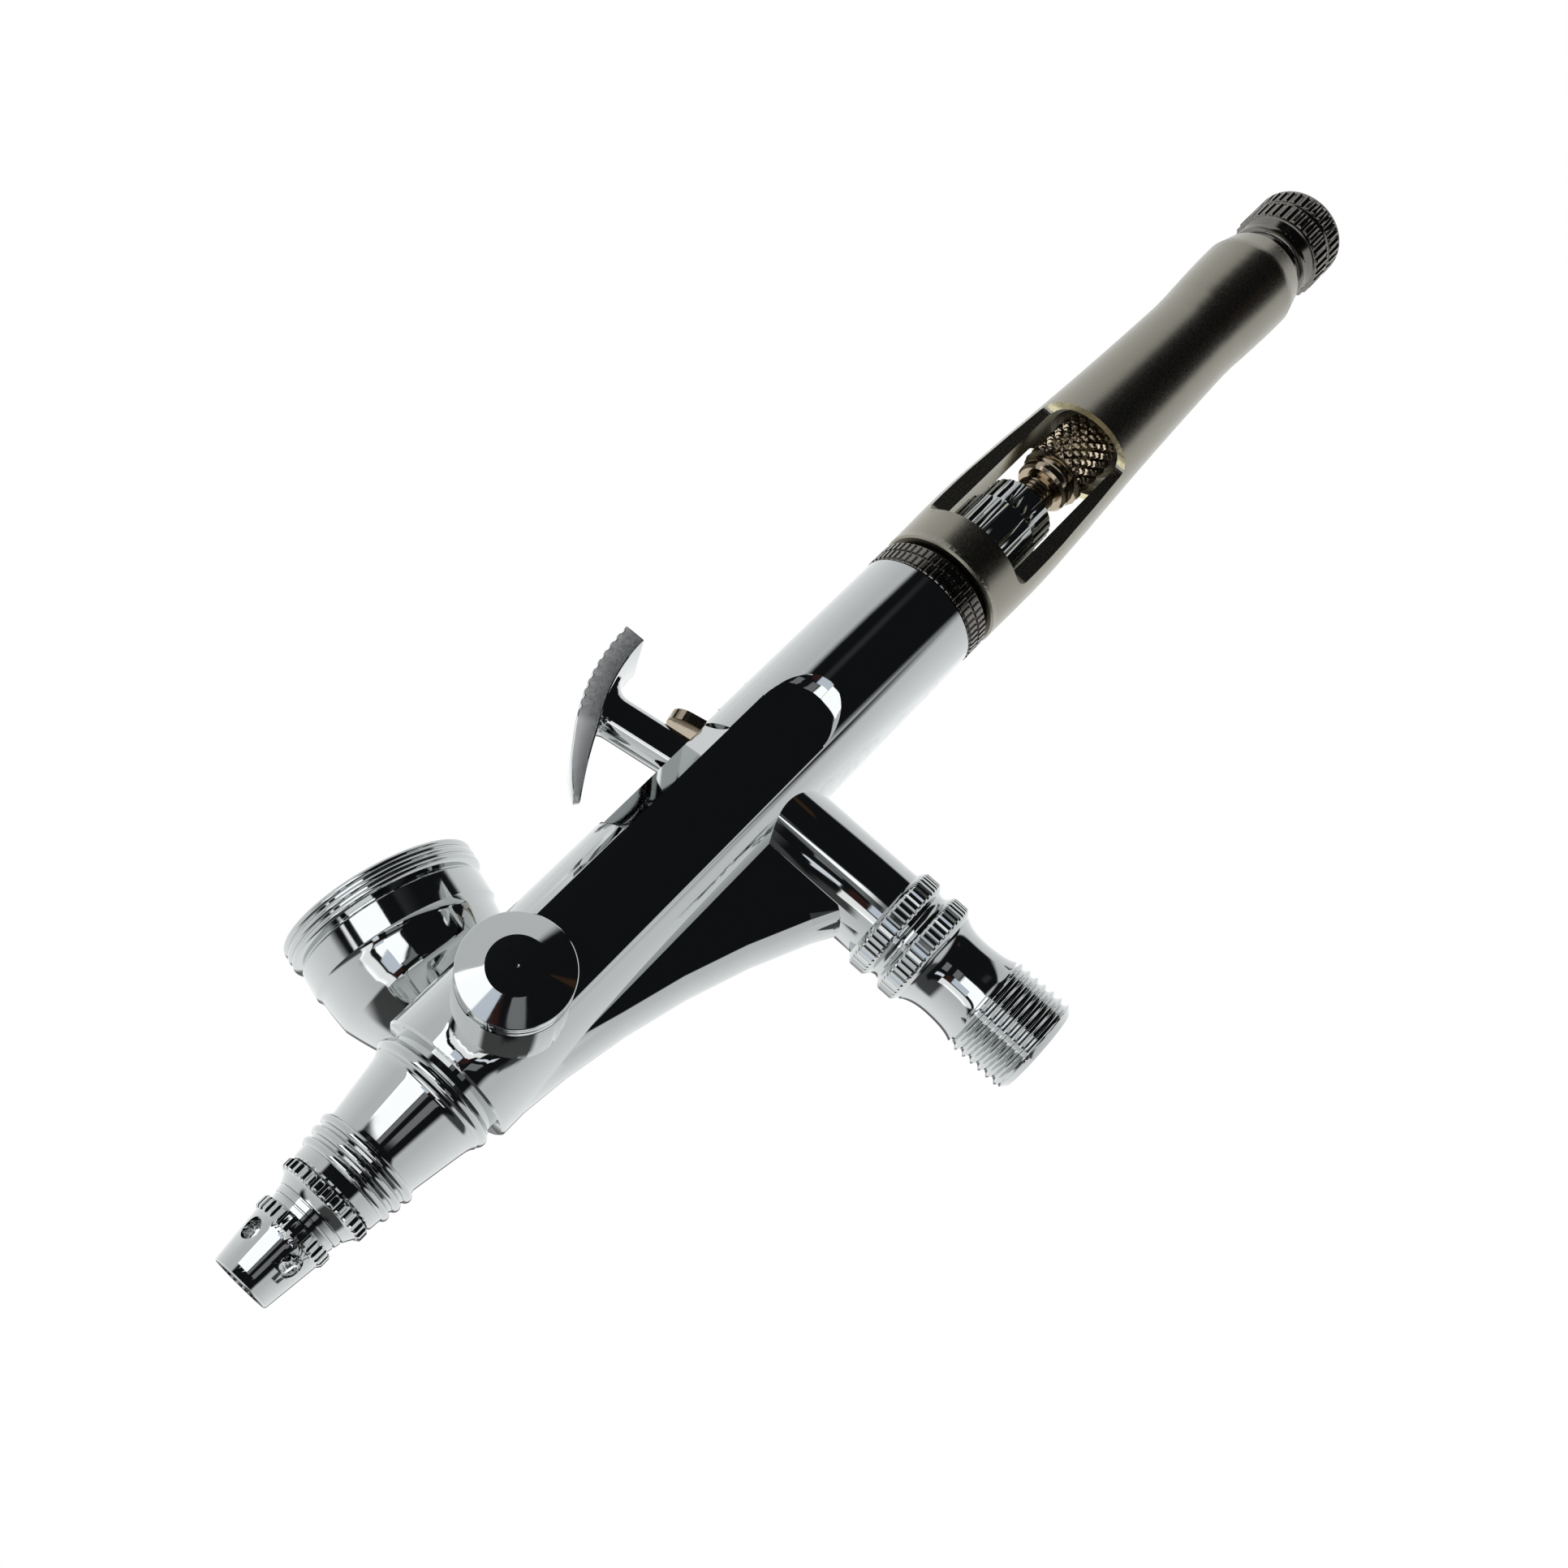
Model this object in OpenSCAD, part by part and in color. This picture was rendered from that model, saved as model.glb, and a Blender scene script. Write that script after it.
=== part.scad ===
// Side-feed, double-action airbrush.
// +X runs along the barrel from the spray tip to the tail, +Z is up (trigger side),
// -Y is the side of the port plug and +Y the side of the colour cup.
// The origin is the middle of the air inlet's end face; the barrel's axis lies above it.

/* [Barrel] */
// Radius of the barrel
barrel_r = 6.5; // [6.2:0.1:7]
// Distance from the side port's axis back to the air valve's axis
port_to_valve = 30.2; // [28:0.2:34]
// Distance from the barrel's front face back to the side port's axis
front_to_port = 7; // [6.4:0.1:9]
// Length of the barrel behind the valve's axis
valve_to_rear = 26.3; // [25:0.1:30]
// Distance from the barrel's axis to the milled flat on its side
flat_y = 5.4; // [5:0.1:5.8]
// Reach of the milled flat behind the valve's axis
flat_rear = 10.9; // [7:0.1:14]
// Radius of the cavity that holds the action
cavity_r = 4.6; // [4.5:0.05:4.8]
// Width of the trigger slot
slot_w = 5; // [4.8:0.1:5.4]
// Reach of the trigger slot ahead of the valve's axis
slot_front = 12.3; // [11:0.1:13]
// Reach of the slot's wide part behind the valve's axis
slot_rear = 3.4; // [3:0.1:4]
// Reach of the slot's narrow rear part, which the lever swings into
slot_reach = 7.6; // [7.4:0.1:9]
// Depth of the flats that relieve the slot's edges
relief = 0.35; // [0.2:0.05:0.5]

/* [Air passage] */
// Radius of the rounded keel under the barrel
keel_r = 3.1; // [2.8:0.1:3.4]
// Half width of the passage between its milled sides
passage_half = 2.85; // [2.6:0.05:2.9]
// Radius of the keel's hollow sweep
sweep_r = 86; // [80:1:95]
// Depth of the keel's middle at its front, below the barrel's axis
keel_high = 3; // [2.4:0.1:3.6]
// Depth of the keel's middle at the valve's axis, below the barrel's axis
keel_low = 14.4; // [13.4:0.1:14.6]

/* [Side port] */
// Radius of the near boss and of its plug
port_r = 4.75; // [4.4:0.05:5]
// Distance from the barrel's axis to the near boss's face
near_reach = 12.6; // [11:0.1:14]
// Thickness of the plug's rim
plug_rim = 1; // [0.7:0.1:1.6]
// Height of the plug's cone
plug_cone = 1; // [0.6:0.1:1.6]
// Radius of the plug's small flat
plug_flat_r = 2.55; // [2:0.05:3]
// Radius of the far boss, which takes the cup's stem
far_r = 4.2; // [4:0.1:4.8]
// Distance from the barrel's axis to the far boss's face
far_reach = 11.5; // [10:0.1:12]

/* [Cup] */
// Distance from the barrel's axis out to the cup's axis
cup_reach = 22; // [21:0.5:26]
// Lean of the cup towards the tail, in degrees
cup_lean = 15; // [0:1:25]
// Height of the cup's rim above the port's axis
cup_h = 21.6; // [20:0.2:26]
// Radius of the cup's cylindrical wall
cup_r = 9.7; // [9:0.1:10]
// Radius over the rim's ridges
rim_r = 10.15; // [9.9:0.05:10.5]
// Number of ridges under the rim
rim_ridges = 3; // [2:1:4]
// Thickness of the cup's wall
cup_wall = 0.7; // [0.5:0.05:0.9]
// Radius of the stem in the port
stem_r = 2.6; // [2.2:0.1:3]

/* [Head] */
// Length of the head ahead of the barrel
head_len = 12.5; // [11:0.1:14]
// Radius of the head behind the nozzle cap
head_r = 4.15; // [4:0.05:4.4]
// Number of grip ridges round the head
head_ridges = 3; // [2:1:4]
// Radius of the head's bead
bead_r = 5.95; // [5.7:0.05:6.3]
// Width of the bead
bead_w = 1.5; // [1.2:0.1:2]
// Width of the groove behind the bead
groove_w = 0.8; // [0.6:0.1:1.2]

/* [Nozzle and caps] */
// Visible length of the nozzle cap
nozzle_cap_len = 3.35; // [3:0.05:4]
// Radius of the nozzle cap's fluted ring
nozzle_ring_r = 4.25; // [4.1:0.05:4.5]
// Width of the fluted rings on both caps
ring_w = 1.2; // [0.9:0.1:1.4]
// Length of the needle cap
needle_cap_len = 5.95; // [5:0.05:7]
// Radius of the needle cap at its mouth
mouth_r = 2.7; // [2.5:0.05:2.9]
// Radius of the needle cap at its fluted ring
needle_cap_r = 3.35; // [3.2:0.05:3.6]
// Number of round holes through the needle cap
cap_holes = 4; // [3:1:6]
// Radius of those holes
cap_hole_r = 0.95; // [0.6:0.05:1.1]

/* [Needle] */
// Radius of the needle
needle_r = 0.65; // [0.5:0.05:0.7]
// Length of the needle's taper
taper_len = 6; // [4:0.5:8]
// Distance of the needle's point behind the needle cap's mouth
point_in = 1.8; // [1:0.1:3]
// Gap between the needle and the stop screw with the trigger fully back
stop_gap = 0.4; // [0.2:0.1:2]

/* [Trigger] */
// Height of the trigger's pivot below the barrel's axis
pivot_drop = 5.5; // [5.2:0.1:5.8]
// Forward lean of the trigger's stem, in degrees
stem_lean = 10; // [8:1:14]
// Radius of the round stem
trigger_stem_r = 2.1; // [1.8:0.05:2.15]
// Width across the stem's flats
stem_flats = 3.5; // [3:0.1:3.8]
// Width of the finger pad
pad_w = 7; // [6:0.5:9]
// Radius of the pad's back
pad_r = 19.6; // [18:0.2:22]
// Thickness of the pad
pad_t = 2.1; // [1.6:0.1:2.4]
// Height of the pad's arc centre below the barrel's axis
pad_drop = 2.2; // [1.8:0.1:3]
// Number of grip teeth across the pad
pad_teeth = 8; // [4:1:10]
// Depth of those teeth
tooth_depth = 0.45; // [0.2:0.05:0.6]

/* [Air valve] */
// Radius of the barrel's valve tube
tube_r = 4.55; // [4.4:0.05:4.8]
// Distance from the barrel's axis to the valve tube's end
tube_drop = 17.4; // [17:0.1:19]
// Radius over the valve body's fluted rings
valve_ring_r = 5.3; // [5:0.05:5.8]
// Width of each fluted ring
valve_ring_w = 2.5; // [2:0.1:3]
// Width of the groove between the rings
valve_gap_w = 0.8; // [0.5:0.1:1.2]
// Radius of the valve body's waist
waist_r = 4.15; // [3.9:0.05:4.6]
// Length of the waisted bell
bell_len = 6; // [5:0.2:8]
// Outside radius of the G 1/8 inlet thread
inlet_r = 4.864; // [4.864]
// Length of the inlet thread with its chamfer
inlet_len = 6.2; // [5.5:0.1:8]
// Radius of the air way through the valve body
airway_r = 2.6; // [2.4:0.05:2.8]

/* [Handle] */
// Length of the lock ring
lock_len = 3.4; // [2.8:0.1:4]
// Length of the handle
handle_len = 60.4; // [58:0.2:64]
// Largest radius of the handle, over its window
handle_r = 6.75; // [6.6:0.05:7]
// Radius of the handle's waist
handle_waist_r = 5.3; // [5:0.05:5.6]
// Radius of the handle's tail swell
handle_tail_r = 5.72; // [5.5:0.02:6]
// Distance from the handle's front to its window
window_in = 4.3; // [4.2:0.1:5]
// Length of the window
window_len = 20.1; // [19.1:0.2:20.5]
// Distance from the handle's axis to the window's milled floor
window_y = 3; // [2.6:0.1:3.6]
// Radius of the fillets at the ends of that floor
window_fillet = 1.4; // [1:0.1:1.8]
// Radius of the handle's bore
handle_bore_r = 5.3; // [5:0.05:5.4]

/* [Spring case and chuck] */
// Radius of the case's first step
case_r = 4.35; // [4.2:0.05:4.5]
// Length of the case that shows in the window up to its second step
case_step1 = 6.4; // [6:0.1:7]
// Radius of the case's second step
case_step_r = 3.8; // [3.6:0.05:4]
// Length of the second step
case_step2 = 3.5; // [3:0.1:4]
// Number of flutes round the case
case_flutes = 24; // [16:1:36]
// Radius of the needle chuck's tube
chuck_r = 1.9; // [1.7:0.05:2]
// Gap between the spring case and the chuck nut
chuck_gap = 3.4; // [3.2:0.1:4]
// Radius of the chuck nut's head
nut_r = 3.4; // [3.2:0.1:3.6]
// Length of the chuck nut's head
nut_len = 8.2; // [7:0.1:8.6]

/* [Stop screw] */
// Radius of the stop screw's bands
knob_r = 5.35; // [5:0.05:5.5]
// Width of each band
band_w = 2.4; // [2:0.1:3]
// Width of the groove between the bands
band_gap = 0.6; // [0.4:0.1:1]
// Radius of the stop screw's thread
stop_r = 3; // [2.6:0.1:3.4]

/* [Clearances] */
// Radial clearance of sliding and turning fits
running = 0.05; // [0.03:0.01:0.08]
// Radial clearance of screwed and pushed-in fits
seat = 0.03; // [0.02:0.01:0.05]
// Gap between faces of pieces that move apart
face_gap = 0.15; // [0.1:0.05:0.25]

/* [Hidden] */
$fn = 72;
fine = 32;
eps = 0.02;
edge = 0.2;

axis_z = tube_drop + 2 * valve_ring_w + valve_gap_w + bell_len + inlet_len;

// Stations along the barrel, from the spray tip to the tail
port_x = -port_to_valve;
front_x = port_x - front_to_port;
head_x = front_x - head_len;
nozzle_cap_x = head_x - nozzle_cap_len;
mouth_x = nozzle_cap_x - needle_cap_len;
rear_x = valve_to_rear;
handle_x = rear_x + lock_len + 0.2;
handle_end = handle_x + handle_len;
window_x = handle_x + window_in;
window_end = window_x + window_len;
case_x2 = window_x + case_step1;
case_end = case_x2 + case_step2;
nut_x = case_end + chuck_gap;
collar_len = 1.9;
nut_end = nut_x + collar_len + nut_len;
knob_x = handle_end + 0.2;

// Keel sweep's centre: its crest is at keel_high, and it reaches keel_low at the valve's axis
sweep_z = sweep_r + keel_high;
sweep_x = sqrt(sweep_r * sweep_r - (sweep_z - keel_low) * (sweep_z - keel_low));

// Front passages
needle_way = needle_r + running;
spigot_r = 3.2;
spigot_len = 3.2;
head_spigot_r = 4.4;
head_spigot_len = 2.6;
packing_r = 1.9;
packing_x = port_x + 5;
packing_len = 2.6;
packing_screw_len = 5.8;
slot_depth = 0.7;
cavity_x = -12.9;
plug_in = 8.2;
plug_spigot_r = 3;

// Air valve, heights measured from the barrel's axis
pivot_z = -pivot_drop;
foot_r = 1.5;
stem_inner = 2.2;
button_z = pivot_z - foot_r - 0.05;
button_t = 1.2;
button_r = 2.1;
press = 1.6;
guide_top = button_z - button_t - press - 0.35;
guide_len = 3;
socket_r = 3.4;
socket_len = 3.6;
valve_z = -tube_drop;
ring2_z = valve_z - valve_ring_w - valve_gap_w;
bell_z = ring2_z - valve_ring_w;
thread_z = bell_z - bell_len;
seat_z = valve_z - 4.2;
seat_t = 1.4;
pin_r = 1;
valve_head_r = 1.9;
valve_head_t = 1;
valve_seal_t = 0.3;
spring_end = thread_z - 1.2;
inlet_lead = 0.6;

// Action
needle_travel = 3.4;
case_seat = 3.6;
stop_len = 7;
stop_x = handle_end - stop_len + 0.5;
needle_end = stop_x - stop_gap - needle_travel;
lever_pivot = [3.6, -3];
lever_top = [0.75, 8.7];
lever_t = 1.1;
lever_w = stem_flats + 0.1;
lever_pin_r = 0.6;
lever_boss_r = 1.2;
lever_pin_half = sqrt(cavity_r * cavity_r - lever_pivot[1] * lever_pivot[1]) + 0.5;
nose_z = 3;
nose_r = 1;
guide_x = lever_pivot[0] + (lever_top[0] - lever_pivot[0])
    * (nose_z - lever_pivot[1]) / (lever_top[1] - lever_pivot[1]) + 0.6 + nose_r + face_gap;
guide_head_r = 3.6;
guide_head_len = 1.8;
flange_x = 19;
flange_r = 3.1;
flange_t = 1.5;
chuck_end = nut_x + 4.4;
spring_x0 = flange_x + flange_t + needle_travel;
spring_x1 = case_end - 1.2;
spring_coil_r = 2.5;
spring_wire_r = 0.25;
spring_turns = 9;

chrome = "#c9ccce";
nickel = "#a9a79c";
dark_nickel = "#55534f";
brass = "#b5a078";
white_seal = "#eceae4";

// ---- helpers -------------------------------------------------------------

// Points of an arc from angle a0 to a1
function arc(cx, cy, r, a0, a1, n = 8) =
    [for (i = [0 : n]) let (a = a0 + (a1 - a0) * i / n) [cx + r * cos(a), cy + r * sin(a)]];

// Points of a quadratic curve from p0 to p2, pulled towards p1
function curve(p0, p1, p2, n = 8) =
    [for (i = [0 : n]) let (t = i / n) (1 - t) * (1 - t) * p0 + 2 * t * (1 - t) * p1 + t * t * p2];

// Raises a child from the barrel's axis to its place above the inlet
module on_axis() {
    translate([0, 0, axis_z])
        children();
}

// Turned about the barrel's axis from points [x, radius]
module lathe_x(points) {
    rotate([0, 90, 0])
        rotate_extrude()
            polygon([for (p = points) [p[1], p[0]]]);
}

// Turned about the vertical axis from points [z, radius]
module lathe_z(points) {
    rotate_extrude()
        polygon([for (p = points) [p[1], p[0]]]);
}

module rod_x(x0, x1, r) {
    translate([x0, 0, 0])
        rotate([0, 90, 0])
            cylinder(h = x1 - x0, r = r);
}

module rod_y(y0, y1, r) {
    translate([0, y0, 0])
        rotate([-90, 0, 0])
            cylinder(h = y1 - y0, r = r);
}

module rod_z(z0, z1, r) {
    translate([0, 0, z0])
        cylinder(h = z1 - z0, r = r);
}

// Plate in the XZ plane, centred on y = 0, from points [x, z]
module plate_y(points, w) {
    rotate([90, 0, 0])
        linear_extrude(w, center = true)
            polygon(points);
}

// Grooves round the X axis that leave a fluted ring
module flutes_x(x0, x1, r, n, depth) {
    w = 0.5 * 2 * PI * r / n;
    for (i = [0 : n - 1])
        rotate([360 * i / n, 0, 0])
            translate([x0, -w / 2, r - depth])
                cube([x1 - x0, w, 2 * depth]);
}

// Outline of the handle [x, radius]
handle_front_r = 6.62;
handle_outline = concat(
    [[handle_x, handle_front_r - edge], [handle_x + edge, handle_front_r]],
    curve([handle_x + 2, handle_front_r + 0.03], [handle_x + 9, handle_r + 0.15],
          [handle_x + 14, handle_r - 0.15], 5),
    curve([handle_x + 18, handle_r - 0.32], [handle_x + 32, handle_waist_r + 0.32],
          [handle_end - 14.5, handle_waist_r], 9),
    curve([handle_end - 12.5, handle_waist_r + 0.03], [handle_end - 6.5, handle_tail_r - 0.02],
          [handle_end - 2.4, handle_tail_r], 6),
    [[handle_end, handle_tail_r - 0.57]]
);

// ---- barrel --------------------------------------------------------------

module keel_sweep(r) {
    a0 = acos((sweep_x + 0.2) / sweep_r);
    a1 = acos((sweep_x - 36) / sweep_r);
    translate([-sweep_x, 0, -sweep_z])
        rotate([90, 0, 0])
            rotate([0, 0, a0])
                rotate_extrude(angle = a1 - a0)
                    translate([sweep_r, 0])
                        circle(r = r, $fn = fine);
}

// Web between the barrel and the keel, down to the keel's middle
module keel_web(w) {
    a0 = acos(sweep_x / sweep_r);
    a1 = acos((sweep_x - 36) / sweep_r);
    plate_y(concat([[0, -3]], arc(-sweep_x, -sweep_z, sweep_r, a0, a1, 16), [[-36, -3]]), w);
}

// Milled sides of the air passage, which run out at the front where the keel meets the barrel
module passage_cheeks() {
    runout = curve([-28.5, -9], [-26.5, -5.5], [-25, -2.5], 8);
    for (side = [-1, 1])
        translate([0, side * (passage_half + 5), 0])
            plate_y(concat(runout, [[2, -2.5], [2, -20], [-28.5, -20]]), 10);
}

module air_passage() {
    difference() {
        union() {
            keel_sweep(keel_r);
            keel_web(2 * keel_r);
        }
        passage_cheeks();
    }
}

// Milled flat with a scooped, round rear end
module milled_flat() {
    scoop_r = 3.5;
    scoop_h = 2 * (barrel_r - flat_y);
    scoop_x = flat_rear - scoop_r - 1.5;
    translate([0, -flat_y, 0])
        rotate([90, 0, 0]) {
            translate([port_x, -4, 0])
                cube([scoop_x - port_x, 8, 5]);
            translate([scoop_x, 0, 0])
                cylinder(h = scoop_h, r1 = scoop_r, r2 = scoop_r + 3);
        }
}

module slot_relief() {
    for (side = [-1, 1])
        rotate([side * 38.5, 0, 0])
            translate([-slot_front - 0.3, -3, barrel_r - relief])
                cube([slot_front + 1.5, 6, 2]);
}

module barrel() {
    color(chrome)
    on_axis()
    difference() {
        union() {
            difference() {
                lathe_x([[front_x, 0], [front_x, barrel_r - edge], [front_x + edge, barrel_r],
                         [rear_x - edge, barrel_r], [rear_x, barrel_r - edge], [rear_x, 0]]);
                milled_flat();
                slot_relief();
            }
            rod_z(-tube_drop, 0, tube_r);
            air_passage();
            translate([port_x, 0, 0]) {
                difference() {
                    rod_y(-near_reach, 0, port_r);
                    // Thin turned groove behind the plug
                    difference() {
                        rod_y(-near_reach + 0.55, -near_reach + 0.8, port_r + 1);
                        rod_y(-near_reach + 0.5, -near_reach + 0.85, port_r - 0.18);
                    }
                }
                rod_y(0, far_reach, far_r);
            }
        }
        // Socket for the head, then the needle's way to the packing
        rod_x(front_x - 1, front_x + head_spigot_len + eps, head_spigot_r + seat);
        rod_x(front_x, packing_x + 1, 1.2);
        rod_x(packing_x, cavity_x + 1, packing_r + seat);
        // Cavity of the action, open at the rear
        rod_x(cavity_x, rear_x + 1, cavity_r);
        // Side port: plug socket, colour chamber and stem bore
        translate([port_x, 0, 0]) {
            rod_y(-near_reach - 1, 0.2 - plug_in, plug_spigot_r + seat);
            rod_y(-plug_in - 1, 4, 2);
            rod_y(3.4, far_reach + 1, stem_r + running);
        }
        // Trigger slot
        translate([-slot_front, -slot_w / 2, 0])
            cube([slot_front + slot_rear, slot_w, barrel_r + 2]);
        translate([0, -stem_flats / 2 - 0.2, 0])
            cube([slot_reach, stem_flats + 0.4, barrel_r + 2]);
        // Blind cross hole for the lever's pin
        translate([lever_pivot[0], 0, lever_pivot[1]])
            rod_y(-lever_pin_half - seat, lever_pin_half + seat, lever_pin_r + seat);
        // Bore of the valve tube
        rod_z(valve_z - 1, 0, airway_r);
        rod_z(valve_z - 1, valve_z + socket_len + eps, socket_r + seat);
    }
}

// ---- head and caps -------------------------------------------------------

module head() {
    ridge_step = 1.1;
    cone_x = head_x + 1 + head_ridges * ridge_step + 0.2;
    bead_x = front_x - groove_w - bead_w;
    ridges = [for (i = [0 : head_ridges - 1])
        each arc(head_x + 1 + (i + 0.5) * ridge_step, head_r + 0.02 + i * 0.14, 0.42, 170, 10, 6)];
    outline = concat(
        [[head_x, head_r - 0.15], [head_x + 0.15, head_r]],
        ridges,
        [[cone_x, head_r + 0.3], [bead_x - 1.2, head_r + 1.05]],
        curve([bead_x - 1, head_r + 1.1], [bead_x - 0.3, head_r + 1.2], [bead_x, bead_r - 0.3], 5),
        arc(bead_x + bead_w / 2, bead_r - 0.6, 0.6, 150, 30, 6),
        [[bead_x + bead_w, bead_r - 0.4], [bead_x + bead_w, bead_r - 0.6], [front_x, bead_r - 0.6]]
    );
    color(chrome)
    on_axis()
    difference() {
        union() {
            lathe_x(concat([[head_x, 0]], outline, [[front_x, 0]]));
            rod_x(front_x - 1, front_x + head_spigot_len, head_spigot_r);
        }
        rod_x(head_x - 1, head_x + spigot_len + eps, spigot_r + seat);
        rod_x(head_x, head_x + spigot_len + 1.6, 1.4 + seat);
        rod_x(head_x, front_x + head_spigot_len + 1, 1.2);
    }
}

module nozzle() {
    tip_x = nozzle_cap_x - 2.4;
    base_x = nozzle_cap_x + 1.6;
    color(brass)
    on_axis()
    difference() {
        union() {
            lathe_x([[tip_x, 0], [tip_x, 0.42], [base_x - 0.6, 1.35], [base_x - 0.6, 1.9],
                     [base_x + 0.6, 1.9], [base_x + 0.6, 0]]);
            rod_x(base_x, head_x + spigot_len + 1.5, 1.4);
        }
        rod_x(base_x - 2, head_x + spigot_len + 3, needle_way + 0.1);
        lathe_x([[tip_x - 1, 0], [tip_x - 1, 0.3], [tip_x + 0.1, 0.3],
                 [base_x - 1.9, needle_way + 0.1], [base_x - 1.9, 0]]);
    }
}

module nozzle_cap() {
    ring_x = head_x - ring_w - 0.05;
    color(chrome)
    on_axis()
    difference() {
        union() {
            lathe_x([[nozzle_cap_x - 2.1, 0], [nozzle_cap_x - 2.1, 2.2], [nozzle_cap_x - 1.8, 2.5],
                     [nozzle_cap_x, 2.5], [nozzle_cap_x, 3], [nozzle_cap_x + 0.55, 3.15],
                     [nozzle_cap_x + 0.6, 3.05], [nozzle_cap_x + 0.7, 3.2], [nozzle_cap_x + 1.2, 3.3],
                     [nozzle_cap_x + 1.25, 3.2], [nozzle_cap_x + 1.35, 3.35], [ring_x - 0.1, 3.75],
                     [ring_x, nozzle_ring_r - 0.25], [ring_x + 0.25, nozzle_ring_r],
                     [ring_x + ring_w - 0.25, nozzle_ring_r], [ring_x + ring_w, nozzle_ring_r - 0.25],
                     [ring_x + ring_w, 0]]);
            rod_x(head_x - 0.2, head_x + spigot_len, spigot_r);
        }
        rod_x(nozzle_cap_x - 1, head_x + spigot_len + 1, 2.1);
        // Tapered air orifice round the nozzle's tip
        lathe_x([[nozzle_cap_x - 3, 0], [nozzle_cap_x - 3, 0.68], [nozzle_cap_x - 2, 0.68],
                 [nozzle_cap_x - 0.9, 1.02], [nozzle_cap_x, 1.02], [nozzle_cap_x, 0]]);
        flutes_x(ring_x - 0.3, ring_x + ring_w + 0.01, nozzle_ring_r, 30, 0.22);
    }
}

module needle_cap() {
    ring_x = nozzle_cap_x - ring_w;
    color(chrome)
    on_axis()
    difference() {
        lathe_x([[mouth_x, 1.9], [mouth_x, mouth_r - 0.12], [mouth_x + 0.12, mouth_r],
                 [ring_x - 0.1, needle_cap_r - 0.12], [ring_x, needle_cap_r],
                 [ring_x + 0.2, needle_cap_r + 0.15], [ring_x + ring_w - 0.2, needle_cap_r + 0.15],
                 [nozzle_cap_x - 0.02, needle_cap_r], [nozzle_cap_x - 0.02, 2.5 + seat],
                 [nozzle_cap_x - 2.3, 2.5 + seat], [nozzle_cap_x - 2.5, 2.3]]);
        for (i = [0 : cap_holes - 1])
            rotate([45 + 360 * i / cap_holes, 0, 0])
                translate([mouth_x + 3.3, 0, 0])
                    cylinder(h = 2 * needle_cap_r, r = cap_hole_r, $fn = fine);
        flutes_x(ring_x - 0.3, ring_x + ring_w + 0.1, needle_cap_r + 0.15, 28, 0.2);
    }
}

// ---- side port and cup ---------------------------------------------------

module port_plug() {
    color(chrome)
    on_axis()
    translate([port_x, 0, 0])
        rotate([90, 0, 0])
            lathe_z([[plug_in, 0], [plug_in, plug_spigot_r - edge], [plug_in + 0.3, plug_spigot_r],
                     [near_reach + 0.2, plug_spigot_r], [near_reach + 0.2, port_r - 0.1],
                     [near_reach + 0.3, port_r], [near_reach + plug_rim + 0.2, port_r],
                     [near_reach + plug_rim + 0.25, port_r - 0.06],
                     [near_reach + plug_rim + plug_cone + 0.2, plug_flat_r],
                     [near_reach + plug_rim + plug_cone + 0.2, 0]]);
}

module plug_seal() {
    color(white_seal)
    on_axis()
    translate([port_x, 0, 0])
        rotate([90, 0, 0])
            lathe_z([[near_reach, plug_spigot_r + seat], [near_reach, port_r - 0.3],
                     [near_reach + 0.2, port_r - 0.3], [near_reach + 0.2, plug_spigot_r + seat]]);
}

// Puts a child, drawn upright on the port's axis, at the cup's place and lean
module at_cup() {
    on_axis()
    translate([port_x, cup_reach, 0])
        rotate([0, cup_lean, 0])
            children();
}

cup_base = 3.2;
cup_base_r = 3.4;
band_h = 3.2;
rim_h = 2.7;
band_z = cup_h - rim_h - band_h;

// Points [height, radius] of the bowl below its cylindrical band, moved in by the wall
function bowl(inset) = concat(
    [[cup_base, cup_base_r - inset]],
    curve([6.4, 6.55 - inset], [band_z - 4, cup_r - 0.75 - inset], [band_z - 0.9, cup_r - 0.35 - inset], 8)
);

module cup() {
    ridge = rim_h / (rim_ridges + 0.2);
    ridges = [for (i = [0 : rim_ridges - 1])
        each arc(cup_h - (rim_ridges - i - 0.5) * ridge, rim_r - 0.36, 0.36, 160, 20, 6)];
    color(chrome)
    at_cup()
    difference() {
        lathe_z(concat(
            [[cup_base, 0]], bowl(0),
            [[band_z - 0.5, cup_r - 0.3], [band_z, cup_r], [band_z + band_h - 0.5, cup_r - 0.02],
             [band_z + band_h - 0.2, cup_r - 0.35], [cup_h - rim_h - 0.05, cup_r - 0.35]],
            ridges,
            [[cup_h, rim_r - 0.4], [cup_h, 0]]
        ));
        lathe_z(concat(
            [[cup_base + 0.8, 0], [cup_base + 0.8, cup_base_r - cup_wall - 1.2]],
            curve([6.8, 6.5 - cup_wall], [band_z - 4, cup_r - 0.8 - cup_wall],
                  [band_z - 0.9, cup_r - 0.35 - cup_wall], 8),
            [[cup_h + 1, cup_r - 0.35 - cup_wall], [cup_h + 1, 0]]
        ));
        rod_z(0, cup_base + 2, 1.2);
    }
}

module cup_stem() {
    neck_y = far_reach + face_gap + 0.6 - cup_reach;
    color(chrome)
    at_cup()
    difference() {
        union() {
            rod_z(-3, cup_base, cup_base_r);
            rod_y(neck_y + 1.2, 0, 2.9);
            rod_y(neck_y, neck_y + 1.5, far_r);
            rod_y(3.6 - cup_reach, neck_y + 0.2, stem_r);
        }
        rod_z(0, cup_base + 1, 1.2);
        rod_y(3 - cup_reach, 0, 1.2);
    }
}

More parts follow.
